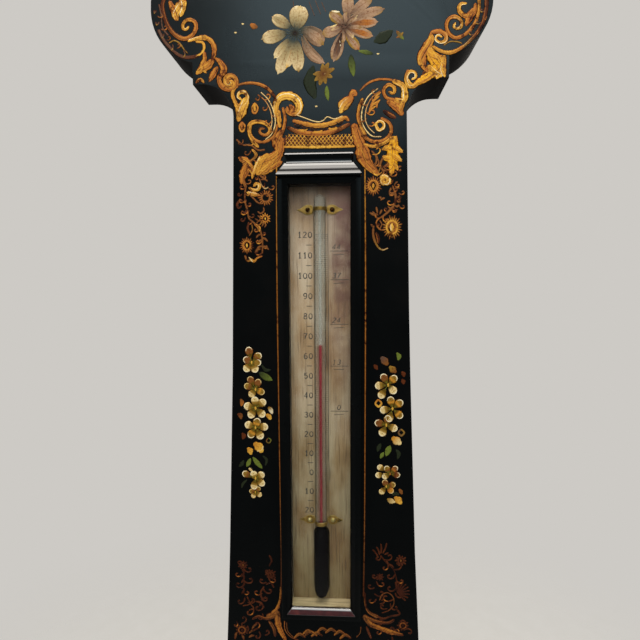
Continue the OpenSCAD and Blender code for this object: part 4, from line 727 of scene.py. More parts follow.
# petals of the bouquet: tones inside and outside, width, base, tip and bend, in mm
for inner, outer, *measures in (row.split() for row in """
        spp eep 5.8 -9 -176.6 3.1 -191.2 -2.4
        spt sep 9 -9.2 -172.7 2.4 -181.3 1.1
        sxhc sxhw 10.6 -12.5 -172.1 -10.1 -160.6
        sxxh sxhc 6.6 -16.1 -171.3 -25.9 -165.6
        sxhx sxht 7.4 -18.4 -174.8 -32 -177.3
        sxhc sxhw 5.1 -16.6 -177.8 -25.1 -187.7
        sxht sxhc 7.4 -12.6 -178.9 -11.5 -195.4
        sxhh sxhc 7.4 -15.4 -178.8 -23.2 -196.2
        sxhy sxhc 6.4 -14.1 -179.3 -18.3 -193
        mpt epc 6.7 16.1 -167.3 16.1 -155.4
        mpt ept 5.8 17.6 -165.4 29.5 -157.3
        mpe ept 5.3 17.6 -167.8 36.3 -163.5
        mop epp 5.8 17.6 -170.7 32.6 -170.2
        mop ept 5.3 16.6 -173.5 29.9 -177.7
        mpo ttp 5.3 15 -175.9 22.3 -184.5
        dmp mpt 6.7 12.8 -175.8 8.2 -190.4
        mpt ept 6.2 12.3 -173.4 2 -175.7
        mpt etc 6.2 13.8 -170.6 6.3 -164.3
        dpt dmpt 4.2 14.5 -171.5 15.6 -164.4
        dpc dmpc 4.2 15 -171.6 21.6 -166.5
        dpt dmpt 4.2 15.6 -172.5 23.6 -172.8
        dpc dmpc 4.2 14.5 -173 19.1 -178.4
        dpt dmpt 4.2 13.5 -173 13 -180.6
        dpc dmpc 4.2 13 -172 7 -173.7
        dpt dmpt 4.2 13.5 -171 9.5 -167.1""".strip().splitlines()):
    petal(inner, outer, *map(float, measures))
# flower sprays beside the thermometer
noted(paint, -50, -362, """
    kn 7 44 9 : 134 46 171 72 209 91;
    k 7 22 7 : 150 1 172 31 202 30;
    tw 19 29 19 : 191 262 200 273 206 288;
    gy 22 32 22 : 179 306 189 313 195 323;
    bo 15 26 15 : 22 214 27 229 24 244;
    rb 17 32 17 : 5 303 15 309 19 323;
    rr 17 32 17 : 28 423 34 435 29 448;
    nb 6 7 6 : 185 446 199 458 188 476 171 467 179 449;
    gy 36 61 36 : 108 488 123 502 136 521;
    c 7 15 7 : 115 527 140 520 150 497;
    gy 22 41 22 : 62 515 70 526 74 540;
    n 7 32 7 : 88 568 114 603 141 633;
    n 7 29 7 : 71 576 60 604 48 623;
    k 7 25 7 : 30 588 18 610 2 624;
    kk 7 19 7 : 149 559 171 582 163 614;
    c 12 17 12 : 65 639 72 645 78 651;
    k 7 17 7 : 47 710 23 734 15 758""")
noted(paint, 31, -355, """
    k 7 22 7 : 118 856 141 848 155 855;
    n 15 29 12 : 140 0 149 16 145 34;
    mb 29 51 29 : 54 30 65 43 76 57;
    rr 17 29 17 : 9 72 14 79 20 88 | 170 112 176 120 178 129;
    tb 22 44 22 : 101 82 114 95 125 105;
    r 17 29 17 : 171 157 175 164 177 173;
    oyo 10 13 10 : 31 275 49 295 33 317 13 298 29 275;
    tm 9 12 9 : 166 453 184 471 168 491 150 473 165 453;
    gc 32 55 32 : 124 511 139 522 154 534;
    n 7 38 9 : 101 554 90 583 79 613;
    n 7 25 7 : 63 595 54 612 45 629;
    k 7 29 7 : 46 541 35 566 27 587;
    k 7 26 7 : 138 578 153 601 146 632;
    tc 15 36 15 : 92 884 110 894 128 899;
    gy 29 48 29 : 141 877 153 888 163 900;
    b 15 25 15 : 161 824 167 833 172 844""")
blossom(-41, -360.6, 2.5, "w", "y", "-1.5 7.1 bb  -2.9 1.5 bb  3.9 3.8 bt  3.4 -0.1 tt  1.8 -3.9 tc  -3 -3.6 tc")
blossom(-39, -376.8, 2.3, "c", "y", "3.4 -1.5 gt  -2.3 -2.9 tc  -4.8 1.8 bt  -2.9 5.8 bb  1.6 4.2 bb")
blossom(-39.2, -388.3, 2.6, "w", "y", "-0.3 4.7 tc  4.3 3.5 tc  3.7 -3.5 tc  -2.6 -4 tc  -4.7 1.1 tc")
blossom(-39.4, -400.2, 2.6, "w", "y", "-4.2 1.5 tc  1 3.5 gt  5.3 0.4 tc  2.7 -5 tc  -2.7 -4.3 gt")
blossom(-39.9, -431.7, 2.4, "w", "y", "-1.1 2.3 tc  3.5 2 tc  3.6 -3.1 tc  -0.9 -5 tc  -6 2.5 bt")
blossom(-40.2, -440.6, 1.7, "c", "y", "-1.1 -2.2 tc  2.5 -1.5 tc  1.8 2.1 bt  -2.2 0.6 bt")
blossom(39.7, -373.6, 2.5, "w", "y", "-3.8 -6 tc  3 -3.3 cc  3.3 3.8 gt  -2.5 4.5 bb  -5.4 -0.5 tc")
blossom(42.4, -387.8, 2.5, "w", "y", "-1.1 5.1 gt  4.1 3.4 gt  4.1 -3.9 gt  -1.8 -5.8 tc  -5.1 -0.8 tc")
blossom(38.8, -397.7, 2.5, "w", "y", "4.4 -1.9 tc  -2.2 -4.7 tc  -4.6 1.1 bb  0.9 3.7 bt")
blossom(41.2, -427.5, 2, "w", "o", "-5.9 3.8 tc  -6.9 -1 tc  -1.8 3.1 bt  -2.9 -1.6 tc  3 3.2 ob  4.2 -0.7 rb")
blossom(39.1, -435.4, 2, "c", "y", "-2.6 -3.2 tc  2.7 -2.6 og  -0.8 2.5 bb  3.7 1 bt")
# a spray carried on up the head, past the photo's edge
noted(paint, 0, 0, """
    kn 8 9 7 : 20 1500 40 1340 0 1180 30 1000 0 840;
    k 6 8 6 : 30 1280 140 1180 200 1060;
    k 6 8 6 : 10 1220 -120 1160 -200 1020""")
for x, z, lean in ((10, -124, 30), (-8, -112, 150), (9, -104, 40), (-6, -96, 140), (22, -113, -30), (-23, -110, 200),
                   (4, -78, 70), (-5, -138, 150), (14, -138, 10)):
    c, s = math.cos(math.radians(lean)), math.sin(math.radians(lean))
    paint("kn", (0.6, 3.6, 0.5), [(x + c * t - s * t * t * 0.03, z + s * t) for t in (0, 5, 10)])
blossom(22, -99, 2.7, "w", "y", "4.6 1 tc  1.6 4.6 tc  -3.8 3 tc  -4 -2.4 tc  1.2 -4.6 tc")
blossom(-22, -96, 2.7, "w", "y", "4.6 -1 tc  1.6 4.6 gt  -3.8 3 tc  -4 -2.8 tc  1 -4.8 gt")
blossom(-1, -92, 2.5, "c", "o", "4.2 0.6 ob  0.6 4.4 ob  -4 1.6 bt  -2.6 -3.6 bt  2.6 -3.6 ob")
blossom(2, -74, 2.3, "w", "y", "3.8 0.4 tc  0.6 4 tc  -3.8 1.2 tc  -2 -3.4 tc  2.4 -3 tc")

# ---- Laying on the paint ----------------------------------------------------------------------------------
# Each stroke is a low bead of paint along its path, round at its ends and a little ragged at its sides. The
# drawing line lies lowest and reaches out a little from under the gilding.


def new_tree(name, **inputs):
    """A geometry tree with a mesh in and out and its other inputs by name and kind; and what it is given."""
    tree = bpy.data.node_groups.new(name, "GeometryNodeTree")
    for key, kind in (("Geometry", "Geometry"), *inputs.items()):
        tree.interface.new_socket(key, in_out="INPUT", socket_type="NodeSocket" + kind)
    tree.interface.new_socket("Geometry", in_out="OUTPUT", socket_type="NodeSocketGeometry")
    return tree, add(tree, "NodeGroupInput").outputs


def finish_tree(tree, mesh, material):
    """Ends a geometry tree: real geometry in one material."""
    mesh = add(tree, "GeometryNodeRealizeInstances", {"Geometry": mesh})
    mesh = add(tree, "GeometryNodeSetMaterial", {"Geometry": mesh, "Material": material})
    add(tree, "NodeGroupOutput", {"Geometry": mesh})
    return tree


def brush_tree():
    """A stroke drawn along each path: a flattened bead whose width, height and tone ride on the path's points."""
    tree, given = new_tree("brushed_stroke", Step="Float", Least="Float", Plane="Float", Ragged="Float",
                           Paint="Material")
    path = add(tree, "GeometryNodeMeshToCurve", {"Mesh": given["Geometry"]})
    path = add(tree, "GeometryNodeCurveSplineType", {"Curve": path}, spline_type="CATMULL_ROM")
    length = add(tree, "GeometryNodeSplineLength")
    count = add(tree, "ShaderNodeMath", {0: length, 1: given["Step"]}, operation="DIVIDE")
    count = add(tree, "ShaderNodeMath", {0: count, 1: given["Least"]}, operation="ADD")
    path = add(tree, "GeometryNodeResampleCurve", {"Curve": path, "Count": count})
    wide = add(tree, "GeometryNodeInputNamedAttribute", {"Name": "half_width"}, data_type="FLOAT")
    shake = add(tree, "ShaderNodeTexNoise", {"Scale": 1 / (1.6 * MM), "Detail": 1.0})
    shake = add(tree, "ShaderNodeMath", {0: shake, 1: 0.5}, operation="SUBTRACT")
    shake = add(tree, "ShaderNodeMath", {0: shake, 1: given["Ragged"], 2: 1.0}, operation="MULTIPLY_ADD")
    wide = add(tree, "ShaderNodeMath", {0: wide, 1: shake}, operation="MULTIPLY")
    path = add(tree, "GeometryNodeStoreNamedAttribute", {"Geometry": path, "Name": "half_width", "Value": wide},
               data_type="FLOAT", domain="POINT")
    wide = add(tree, "GeometryNodeInputNamedAttribute", {"Name": "half_width"}, data_type="FLOAT")
    ring = add(tree, "GeometryNodeCurvePrimitiveCircle", {"Resolution": 8, "Radius": 1.0})
    bead = add(tree, "GeometryNodeCurveToMesh", {"Curve": path, "Profile Curve": ring, "Scale": wide,
                                                 "Fill Caps": True})
    flat = add(tree, "GeometryNodeInputNamedAttribute", {"Name": "flatness"}, data_type="FLOAT")
    depth = add(tree, "ShaderNodeSeparateXYZ", {"Vector": add(tree, "GeometryNodeInputPosition")})
    proud = add(tree, "ShaderNodeMath", {0: depth.outputs["Y"], 1: given["Plane"]}, operation="SUBTRACT")
    crest = add(tree, "ShaderNodeMath", {0: proud, 1: wide}, operation="DIVIDE")
    crest = add(tree, "ShaderNodeMath", {0: crest, 1: -1.0}, operation="MULTIPLY")
    bead = add(tree, "GeometryNodeStoreNamedAttribute", {"Geometry": bead, "Name": "crest", "Value": crest},
               data_type="FLOAT", domain="POINT")
    less = add(tree, "ShaderNodeMath", {0: flat, 1: 1.0}, operation="SUBTRACT")
    shift = add(tree, "ShaderNodeMath", {0: proud, 1: less}, operation="MULTIPLY")
    shift = add(tree, "ShaderNodeCombineXYZ", {"Y": shift})
    bead = add(tree, "GeometryNodeSetPosition", {"Geometry": bead, "Offset": shift})
    bead = add(tree, "GeometryNodeSetShadeSmooth", {"Geometry": bead})
    return finish_tree(tree, bead, given["Paint"])


def plain_mesh(name, mesh, tree, **inputs):
    """Runs a tree on a mesh and keeps the result as a plain mesh object."""
    source = bpy.data.objects.new(name + "_path", mesh)
    bpy.context.scene.collection.objects.link(source)
    modifier = source.modifiers.new("tree", "NODES")
    modifier.node_group = tree
    for item in tree.interface.items_tree:
        if item.item_type == "SOCKET" and item.in_out == "INPUT" and item.name in inputs:
            modifier[item.identifier] = inputs[item.name]
    source.update_tag()
    seen = source.evaluated_get(bpy.context.evaluated_depsgraph_get())
    result = bpy.data.meshes.new_from_object(seen)
    source.modifiers.clear()
    bpy.data.objects.remove(source)
    result.name = name
    made = bpy.data.objects.new(name, result)
    bpy.context.scene.collection.objects.link(made)
    return made


def spread(values, share):
    """A value along a list, by share of its length."""
    place = share * (len(values) - 1)
    i = min(int(place), len(values) - 2) if len(values) > 1 else 0
    return values[i] if len(values) == 1 else values[i] + (values[i + 1] - values[i]) * (place - i)


def eased(path, halves, parts=3):
    """A path with points put in between, half widths that swell and taper in a round, and shares of its length."""
    marks = []
    for i in range(len(path) - 1):
        around = [path[min(max(j, 0), len(path) - 1)] for j in (i - 1, i, i + 1, i + 2)]
        for t in (k / parts for k in range(parts)):
            pulls = (-t + 2 * t * t - t ** 3, 2 - 5 * t * t + 3 * t ** 3, t + 4 * t * t - 3 * t ** 3, t ** 3 - t * t)
            x, z = (sum(pull * place for pull, place in zip(pulls, places)) / 2 for places in zip(*around))
            half = math.sqrt(halves[i] ** 2 * (1 - t) + halves[i + 1] ** 2 * t)
            marks.append((x, z, half, (i + t) / (len(path) - 1)))
    return marks + [(*path[-1], halves[-1], 1.0)]


def stroke_paths(strokes, plane, widen=0.0, tone=None, height=0.035, fine=0.04):
    """One edge mesh for many strokes, with half_width, flatness and tone on its points."""
    points, edges, halves, flats, tints = [], [], [], [], []
    for tones, widths, path, own in strokes:
        if tone and own:
            continue
        colours = [Vector(linear(TONES[t])[:3]) for t in (tone or tones)]
        rise = (height if tone else own) or (fine if max(widths) < 1.2 else height)
        reach = [max(spread(widths, i / (len(path) - 1)) / 2 + widen, 0.1) for i in range(len(path))]
        marks = eased(path, reach, 3 if max(widths) > 1.2 and len(path) < 6 else 1)
        for (x0, z0, half, share), (x1, z1, _, _), end in ((marks[0], marks[1], 0), (marks[-1], marks[-2], 1)):
            far = math.hypot(x1 - x0, z1 - z0)
            for out, thin in ((0.45, 0.89), (0.8, 0.6), (0.97, 0.22)):
                cap = (x0 + (x0 - x1) / far * half * out, z0 + (z0 - z1) / far * half * out, half * thin, share)
                marks.insert(len(marks) if end else 0, cap)
        for i, (x, z, half, share) in enumerate(marks):
            if i:
                edges.append((len(points) - 1, len(points)))
            points.append((x * MM, plane * MM, z * MM))
            halves.append(half * MM)
            flats.append(rise / half)
            tints.extend((*spread(colours, share), 1.0))
    mesh = bpy.data.meshes.new("stroke_paths")
    mesh.from_pydata(points, edges, [])
    mesh.attributes.new("half_width", "FLOAT", "POINT").data.foreach_set("value", halves)
    mesh.attributes.new("flatness", "FLOAT", "POINT").data.foreach_set("value", flats)
    mesh.attributes.new("tone", "FLOAT_COLOR", "POINT").data.foreach_set("color", tints)
    return mesh


stroke_tree = brush_tree()


def brushed_paint(name, metallic, roughness, rim, rim_share, fleck, shine):
    """Paint whose colour rides on its strokes: rim-coloured edges, brush streaks and small losses."""
    made = finish(name, 1.1, ((0.3, "#A87A4C"), (0.48, "#F4EEE4"), (0.7, "#FFFFFF")),
                  (roughness - 0.1, roughness + 0.15), 0.03, Metallic=metallic, Specular_IOR_Level=shine)
    tree = made.node_tree
    tone = add(tree, "ShaderNodeAttribute", attribute_name="tone")
    crest = add(tree, "ShaderNodeAttribute", attribute_name="crest").outputs["Fac"]
    dirt = add(tree, "ShaderNodeTexNoise", {"Vector": tree.nodes["where"].outputs["Object"], "Scale": 1 / (3.8 * MM),
                                            "Detail": 4.0, "Roughness": 0.6})
    ragged = add(tree, "ShaderNodeMath", {0: tree.nodes["grain"], 1: 0.5, 2: crest}, operation="MULTIPLY_ADD")
    edge = add(tree, "ShaderNodeValToRGB", {"Fac": ragged}, (
        (0.25 + rim_share * 0.5, rim), (0.35 + rim_share, "#FFFFFF")))
    lost = add(tree, "ShaderNodeValToRGB", {"Fac": dirt}, ((fleck, "#74502E"), (fleck + 0.12, "#FFFFFF")))
    for share, layer in ((1.0, edge), (0.8, tree.nodes["tint"]), (1.0, lost)):
        tone = add(tree, "ShaderNodeMix", {0: share, 6: tone, 7: layer}, data_type="RGBA", blend_type="MULTIPLY")
    shade(tree, Base_Color=tone)
    return made


# Bronze powder laid in size: a warm, broken metal sheen under old varnish, red-brown where it thins
bronze_powder = brushed_paint("bronze_powder_gilding", 0.15, 0.5, "#7A4420", 0.3, 0.33, 0.1)
# The drawing line under the gilding: thin matt red-brown size
drawing_line = brushed_paint("red_brown_drawing_line", 0.0, 0.5, "#FFFFFF", 0.1, 0.35, 0.06)
# Oil paint on the flowers: fat, softly glossy, yellowed by its varnish
oil_paint = brushed_paint("oil_painted_flowers", 0.0, 0.45, "#C9A878", 0.1, 0.2, 0.06)
drawn = stroke_paths(gilt_strokes, FACE_Y, 0.22, "rdr", 0.012, 0.012)
for name, paths, paint_kind, step, least, ragged in (
        ("gilt_drawing_lines", drawn, drawing_line, 0.9, 4.0, 0.35),
        ("gilt_scrolls", stroke_paths(gilt_strokes, FACE_Y), bronze_powder, 0.9, 4.0, 0.9),
        ("painted_flowers", stroke_paths(paint_strokes, FACE_Y), oil_paint, 0.6, 8.0, 0.3)):
    made = plain_mesh(name, paths, stroke_tree, Step=step * MM, Least=least, Plane=FACE_Y * MM, Paint=paint_kind,
                      Ragged=ragged)
    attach(made, "case")

# ---- Thermometer box --------------------------------------------------------------------------------------
# The box is a mitred frame of ebonised wood on the face panel, with a moulded cornice over it. Both are black;
# what faces up gets the brighter polish, a painted highlight, and the foot bevel has gone red-brown where the polish
# wore.

# French polish over black stain: a deep gloss whose strength is painted by height on the cornice, full on the bars
# and faint in the quirks: painted highlights
polish = finish("ebonised_french_polish", 3.8, ((0.35, "#0A0808"), (0.7, "#120D0D")), (0.03, 0.1), 0.003)
tree = polish.node_tree
CORNICE_FOOT, CORNICE_TOP = -0.25504, -0.24144
# painted highlights: reflection strength by height across the cornice mouldings
painted_highlight_bars = add(tree, "ShaderNodeValToRGB", {"Fac": height_share(tree, CORNICE_FOOT, CORNICE_TOP)}, (
    (0.0, "#FFFFFF"), (0.1, "#F0F0F0"), (0.17, "#B8B8B8"), (0.22, "#404040"), (0.285, "#404040"), (0.31, "#B0B0B0"),
    (0.38, "#D0D0D0"), (0.42, "#A8A8A8"), (0.47, "#F8F8F8"), (0.6, "#FFFFFF"), (0.66, "#E0E0E0"), (0.9, "#FFFFFF")))
shade(tree, Specular_IOR_Level=painted_highlight_bars)
# The same polish worn thin: the wood's red-brown comes through, still with some gloss
bevel_wear = finish("polish_worn_red_brown", 5.3, ((0.3, "#220B0E"), (0.55, "#3A1416"), (0.75, "#50201D")),
                    (0.1, 0.3), 0.006, Specular_IOR_Level=0.05)
BOX_FRONT_Y, FOOT_LIP_LOW, FOOT_LIP_HIGH = -0.038, -0.5096, -0.509
foot_lip = (1.1, lambda e: all(v.co.y < BOX_FRONT_Y and FOOT_LIP_LOW < v.co.z < FOOT_LIP_HIGH for v in e.verts))
front_edges = (0.25, lambda e: all(v.co.y < BOX_FRONT_Y for v in e.verts))
for node, name, rounds, flat in (
        ("thermometer_frame", "thermometer_frame_polished", (foot_lip, front_edges), 20),
        ("thermometer_cornice", "thermometer_cornice_polished", (front_edges,), 3)):
    made = rounded_copy(node, name, (lacquer, polish, bevel_wear), *rounds, flat_mm2=flat)
    # faces turned up take the bright polish, a painted highlight; the rest take the duller lacquer
    for polygon in made.data.polygons:
        n, rounded, up = polygon.normal, polygon.material_index == 1, polygon.normal.z > 0.2
        if node == "thermometer_cornice":
            polygon.material_index = 1 if up else 0
        elif up and polygon.center.z < -0.5 and n.y > -0.95:
            polygon.material_index = 1 if rounded else 2
        else:
            polygon.material_index = 0
    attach(made, "case")
    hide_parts(node)

# ---- Scale plate ------------------------------------------------------------------------------------------
# A rolled brass plate, silvered by hand-rubbing, engraved and the cuts filled with black wax. The rubbing
# runs up and down the plate; the silver is pinkish at the upper right and yellow below, and darker at the top: partly
# brown dirt, partly painted shade under the frame and cornice.


def dress(kind, *names):
    """Gives CAD nodes a finish, on every slot."""
    for name in names:
        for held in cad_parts[name].material_slots:
            held.material = kind


def silvered(name, stretch, low, high, wear=1.0):
    """Rubbed silver over brass between two heights: fine streaks, dark scratches and slow warm stains."""
    made = finish(name, 1.9, ((0.25, "#8C8378"), (0.5, "#F0ECE6"), (0.8, "#FFFFFF")), (0.42, 0.62), 0.02, stretch,
                  5.0, Metallic=0.35)
    tree = made.node_tree
    where = tree.nodes["where"].outputs["Object"]
    # height tones: yellow at the foot; darker at the top, partly dirt and partly painted shade under the frame and
    # cornice
    tint = add(tree, "ShaderNodeValToRGB", {"Fac": height_share(tree, low, high)}, (
        (0.0, "#7E6C48"), (0.1, "#857554"), (0.3, "#A18F72"), (0.7, "#AE9C82"), (0.92, "#A6927C"), (0.97, "#847362"),
        (1.0, "#6E5F52")))
    scratch = add(tree, "ShaderNodeMapping", {"Vector": where, "Scale": [s * 1.9 / 0.8 for s in stretch],
                                              "Location": (0.3, 0, 0)})
    scratch = add(tree, "ShaderNodeTexNoise", {"Vector": scratch, "Scale": 1 / (1.9 * MM), "Detail": 2.0})
    scratch = add(tree, "ShaderNodeValToRGB", {"Fac": scratch}, ((0.34, "#7C6C52"), (0.42, "#FFFFFF")))
    stain = add(tree, "ShaderNodeMapping", {"Vector": where, "Scale": (1, 1, 0.45)})
    stain = add(tree, "ShaderNodeTexNoise", {"Vector": stain, "Scale": 1 / (14 * MM), "Detail": 5.0})
    stain = add(tree, "ShaderNodeValToRGB", {"Fac": stain}, ((0.4, "#FFFFFF"), (0.58, "#D8C3A6"), (0.75, "#9C7E66")))
    for share, layer in ((0.45, tree.nodes["tint"]), (0.45 * wear, scratch), (0.9 * wear, stain)):
        tint = add(tree, "ShaderNodeMix", {0: share, 6: tint, 7: layer}, data_type="RGBA", blend_type="MULTIPLY")
    shade(tree, Base_Color=tint)
    return made


# Silver worn by hand and lamp smoke: warm grey, with a pink-brown cloud at the upper right of the plate
PLATE_FOOT, PLATE_TOP = -0.509, -0.258
scale_silver = silvered("silvered_brass_scale", (1, 1, 0.04), PLATE_FOOT, PLATE_TOP)
tree = scale_silver.node_tree
worn = tree.nodes["Principled BSDF"].inputs["Base Color"].links[0].from_socket
aside = add(tree, "ShaderNodeSeparateXYZ", {"Vector": tree.nodes["where"].outputs["Object"]}).outputs["X"]
aside = add(tree, "ShaderNodeMapRange", {"Value": aside, "From Min": 2 * MM, "From Max": 10 * MM})
cloud = add(tree, "ShaderNodeMath", {0: aside, 1: height_share(tree, -0.41, -0.31)}, operation="MULTIPLY")
wisp = add(tree, "ShaderNodeTexNoise", {"Vector": tree.nodes["where"].outputs["Object"], "Scale": 1 / (9 * MM),
                                        "Detail": 4.0})
wisp = add(tree, "ShaderNodeMapRange", {"Value": wisp, "From Min": 0.36, "From Max": 0.6, "To Min": 0.5})
cloud = add(tree, "ShaderNodeMath", {0: cloud, 1: wisp}, operation="MULTIPLY")
pink = add(tree, "ShaderNodeMix", {0: cloud, 6: worn, 7: linear("#5E3E32")}, data_type="RGBA")
shade(tree, Base_Color=pink)
dress(scale_silver, "scale_plate")

# Engraver's wax: matt black-brown, crumbled a little in the cuts
wax = finish("black_engravers_wax", 1.1, ((0.35, "#120F0C"), (0.75, "#2E271F")), (0.5, 0.75), 0.002, detail=2.0)

SIX = "0.5 0.92 0.3 1 0.08 0.75 0.02 0.35 0.12 0.05 0.35 0 0.56 0.16 0.56 0.42 0.35 0.56 0.12 0.45 0.03 0.3"
FIGURES = {
    "0": ["0.3 1 0.05 0.8 0 0.5 0.05 0.2 0.3 0 0.55 0.2 0.6 0.5 0.55 0.8 0.3 1"],
    "1": ["0.12 0.8 0.32 1", "0.32 1 0.32 0", "0.14 0 0.5 0"],
    "2": ["0.05 0.78 0.15 0.95 0.35 1 0.55 0.82 0.5 0.6 0.2 0.25 0 0", "0 0 0.6 0"],
    "3": ["0.05 0.9 0.3 1 0.52 0.85 0.5 0.62 0.25 0.53", "0.25 0.53 0.55 0.42 0.58 0.18 0.3 0 0.02 0.12"],
    "4": ["0.42 0 0.42 1", "0.42 1 0 0.3", "0 0.3 0.6 0.3"],
    "5": ["0.5 1 0.12 1", "0.12 1 0.08 0.58", "0.08 0.58 0.35 0.64 0.58 0.4 0.5 0.12 0.25 0 0.02 0.12"],
    "6": [SIX],
    "7": ["0 1 0.6 1", "0.6 1 0.3 0.5 0.2 0"],
    "8": ["0.3 0.54 0.08 0.7 0.12 0.95 0.3 1 0.48 0.95 0.52 0.7 0.3 0.54 0.04 0.36 0.06 0.08 0.3 0 0.54 0.08 "
          "0.56 0.36 0.3 0.54"],
}
FIGURE_WIDE, FIGURE_PITCH = 0.6, 0.95       # shares of a figure's height


def figures(strokes, text, x, z, tall, slant=0.0, turn=0.0, pen=0.2):
    """Engraved figures with their right edge at x and foot at z, turned clockwise about that place."""
    c, s = math.cos(turn), math.sin(turn)
    for i, sign in enumerate(text):
        left = (i - len(text)) * FIGURE_PITCH + (FIGURE_PITCH - FIGURE_WIDE)
        for line in FIGURES["6" if sign == "9" else sign]:
            v = [float(t) for t in line.split()]
            flat = [(FIGURE_WIDE - a, 1 - b) if sign == "9" else (a, b) for a, b in zip(v[::2], v[1::2])]
            flat = [((left + a + slant * b) * tall, b * tall) for a, b in flat]
            upright = abs(flat[0][0] - flat[-1][0]) < 0.1 * tall
            pens = (tall * pen,) if len(flat) == 2 and upright else (tall * pen * 0.6, tall * pen, tall * pen * 0.6)
            brush(strokes, "d", pens, [(x + a * c + b * s, z + b * c - a * s) for a, b in flat])


SCALE_Y = -28.2
Z_120, TEN_DEGREES = -285.54, 11.93
scale_cuts = []
for i, degree in enumerate(range(120, -30, -10)):
    z = Z_120 - i * TEN_DEGREES
    figures(scale_cuts, str(abs(degree)), -5.0, z - 1.6, 3.2)
    if degree > -20:
        brush(scale_cuts, "d", (0.4,), [(-8.2, z - TEN_DEGREES / 2), (-5.2, z - TEN_DEGREES / 2)])
for text, degree in (("44", 112), ("37", 98), ("24", 76), ("13", 55), ("0", 32)):
    z = Z_120 - (120 - degree) / 10 * TEN_DEGREES
    figures(scale_cuts, text, 11.4, z + 0.9, 2.9, slant=0.25, pen=0.19)
    brush(scale_cuts, "d", (0.36,), [(6.4, z), (15.8, z)])
    brush(scale_cuts, "d", (0.3,), [(8.0, z - 2.2), (13.6, z - 1.9)])
for x in (-3.75, 4.6):
    brush(scale_cuts, "d", (0.3,), [(x, -279.0), (x, -350.0), (x, -456.0)])
cuts = plain_mesh("scale_figures", stroke_paths(scale_cuts, SCALE_Y, height=0.03, fine=0.03), stroke_tree,
                  Step=0.4 * MM, Least=4.0, Ragged=0.0, Plane=SCALE_Y * MM, Paint=wax)
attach(cuts, "case")


def ticks_tree():
    """A row of short ruled lines at even steps."""
    tree, given = new_tree("ruled_divisions", Count="Int", Start="Vector", Step="Vector", Size="Vector",
                           Wax="Material")
    row = add(tree, "GeometryNodeMeshLine", {"Count": given["Count"], "Start Location": given["Start"],
                                             "Offset": given["Step"]})
    cut = add(tree, "GeometryNodeMeshCube", {"Size": given["Size"]})
    row = add(tree, "GeometryNodeInstanceOnPoints", {"Points": row, "Instance": cut})
    return finish_tree(tree, row, given["Wax"])


ruled = plain_mesh("scale_divisions", bpy.data.meshes.new("row"), ticks_tree(), Count=141,
                   Start=(0.425 * MM, SCALE_Y * MM, Z_120 * MM), Step=(0, 0, -TEN_DEGREES / 10 * MM),
                   Size=(8.3 * MM, 0.04 * MM, 0.26 * MM), Wax=wax)
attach(ruled, "case")

# ---- Lining, pane and tube --------------------------------------------------------------------------------
# A softwood slip lines the box and holds the pane of window glass against the lip; it is painted cream at the
# foot. The tube lies on the plate under two brass straps; its spirit is crimson, and looks black in the bulb.

# Cream paint on the slip at the foot of the box, brushed across; black stain up its sides
cream = finish("cream_painted_slip", 1.7, ((0.3, "#7A6848"), (0.55, "#A08E6A"), (0.8, "#B5A482")), (0.5, 0.7), 0.06,
               (0.1, 1, 0.1))
dress(turning(cream, -0.5075, -0.506, "#14110D"), "thermometer_lining")


def clear_glass(name, tint, ripple_mm, depth_mm, glint):
    """Old drawn or blown glass: clear, with a slow ripple; lamps shine through it. glint colours its reflections."""
    made = finish(name, ripple_mm, ((0.3, tint), (0.7, "#FFFFFF")), (0.02, 0.05), depth_mm, detail=1.0, IOR=1.5,
                  Specular_Tint=linear(glint), Transmission_Weight=1.0)
    tree = made.node_tree
    lamp = add(tree, "ShaderNodeLightPath").outputs["Is Shadow Ray"]
    through = add(tree, "ShaderNodeBsdfTransparent")
    both = add(tree, "ShaderNodeMixShader", {0: lamp, 1: tree.nodes["Principled BSDF"], 2: through})
    connect(tree, tree.nodes["Material Output"], {"Surface": both})
    return made


# Window glass of the pane: thin and clear, faintly green; convex dial glass and the siphon's tube are blown
dress(clear_glass("window_glass", "#F3F7F5", 45, 0.01, "#3A3A3A"), "thermometer_pane")
dress(clear_glass("blown_convex_glass", "#F5F8F6", 60, 0.02, "#B0B0B0"), "dial_glass")
dress(clear_glass("blown_tube_glass", "#EEF3F0", 25, 0.02, "#FFFFFF"), "siphon_tube", "counter_tube")

# The thermometer's tube: thick drawn glass, a milky veil over the plate, flushed by the spirit; dark at the bulb, and
# dark and denser along both edges as painted shade for the rims a glass rod shows
TUBE_R, SPIRIT_TOP, BULB_TOP = 3.2, -0.35, -0.4585
tube_glass = finish("drawn_tube_glass", 40, ((0.3, "#F0EEE8"), (0.7, "#FFFFFF")), (0.06, 0.12), 0.004,
                    Specular_IOR_Level=0.03)
tree = tube_glass.node_tree
place = add(tree, "ShaderNodeSeparateXYZ", {"Vector": tree.nodes["where"].outputs["Object"]}).outputs
aside = add(tree, "ShaderNodeMath", {0: place["X"]}, operation="ABSOLUTE")
aside = add(tree, "ShaderNodeMapRange", {"Value": aside, "From Max": TUBE_R * MM})
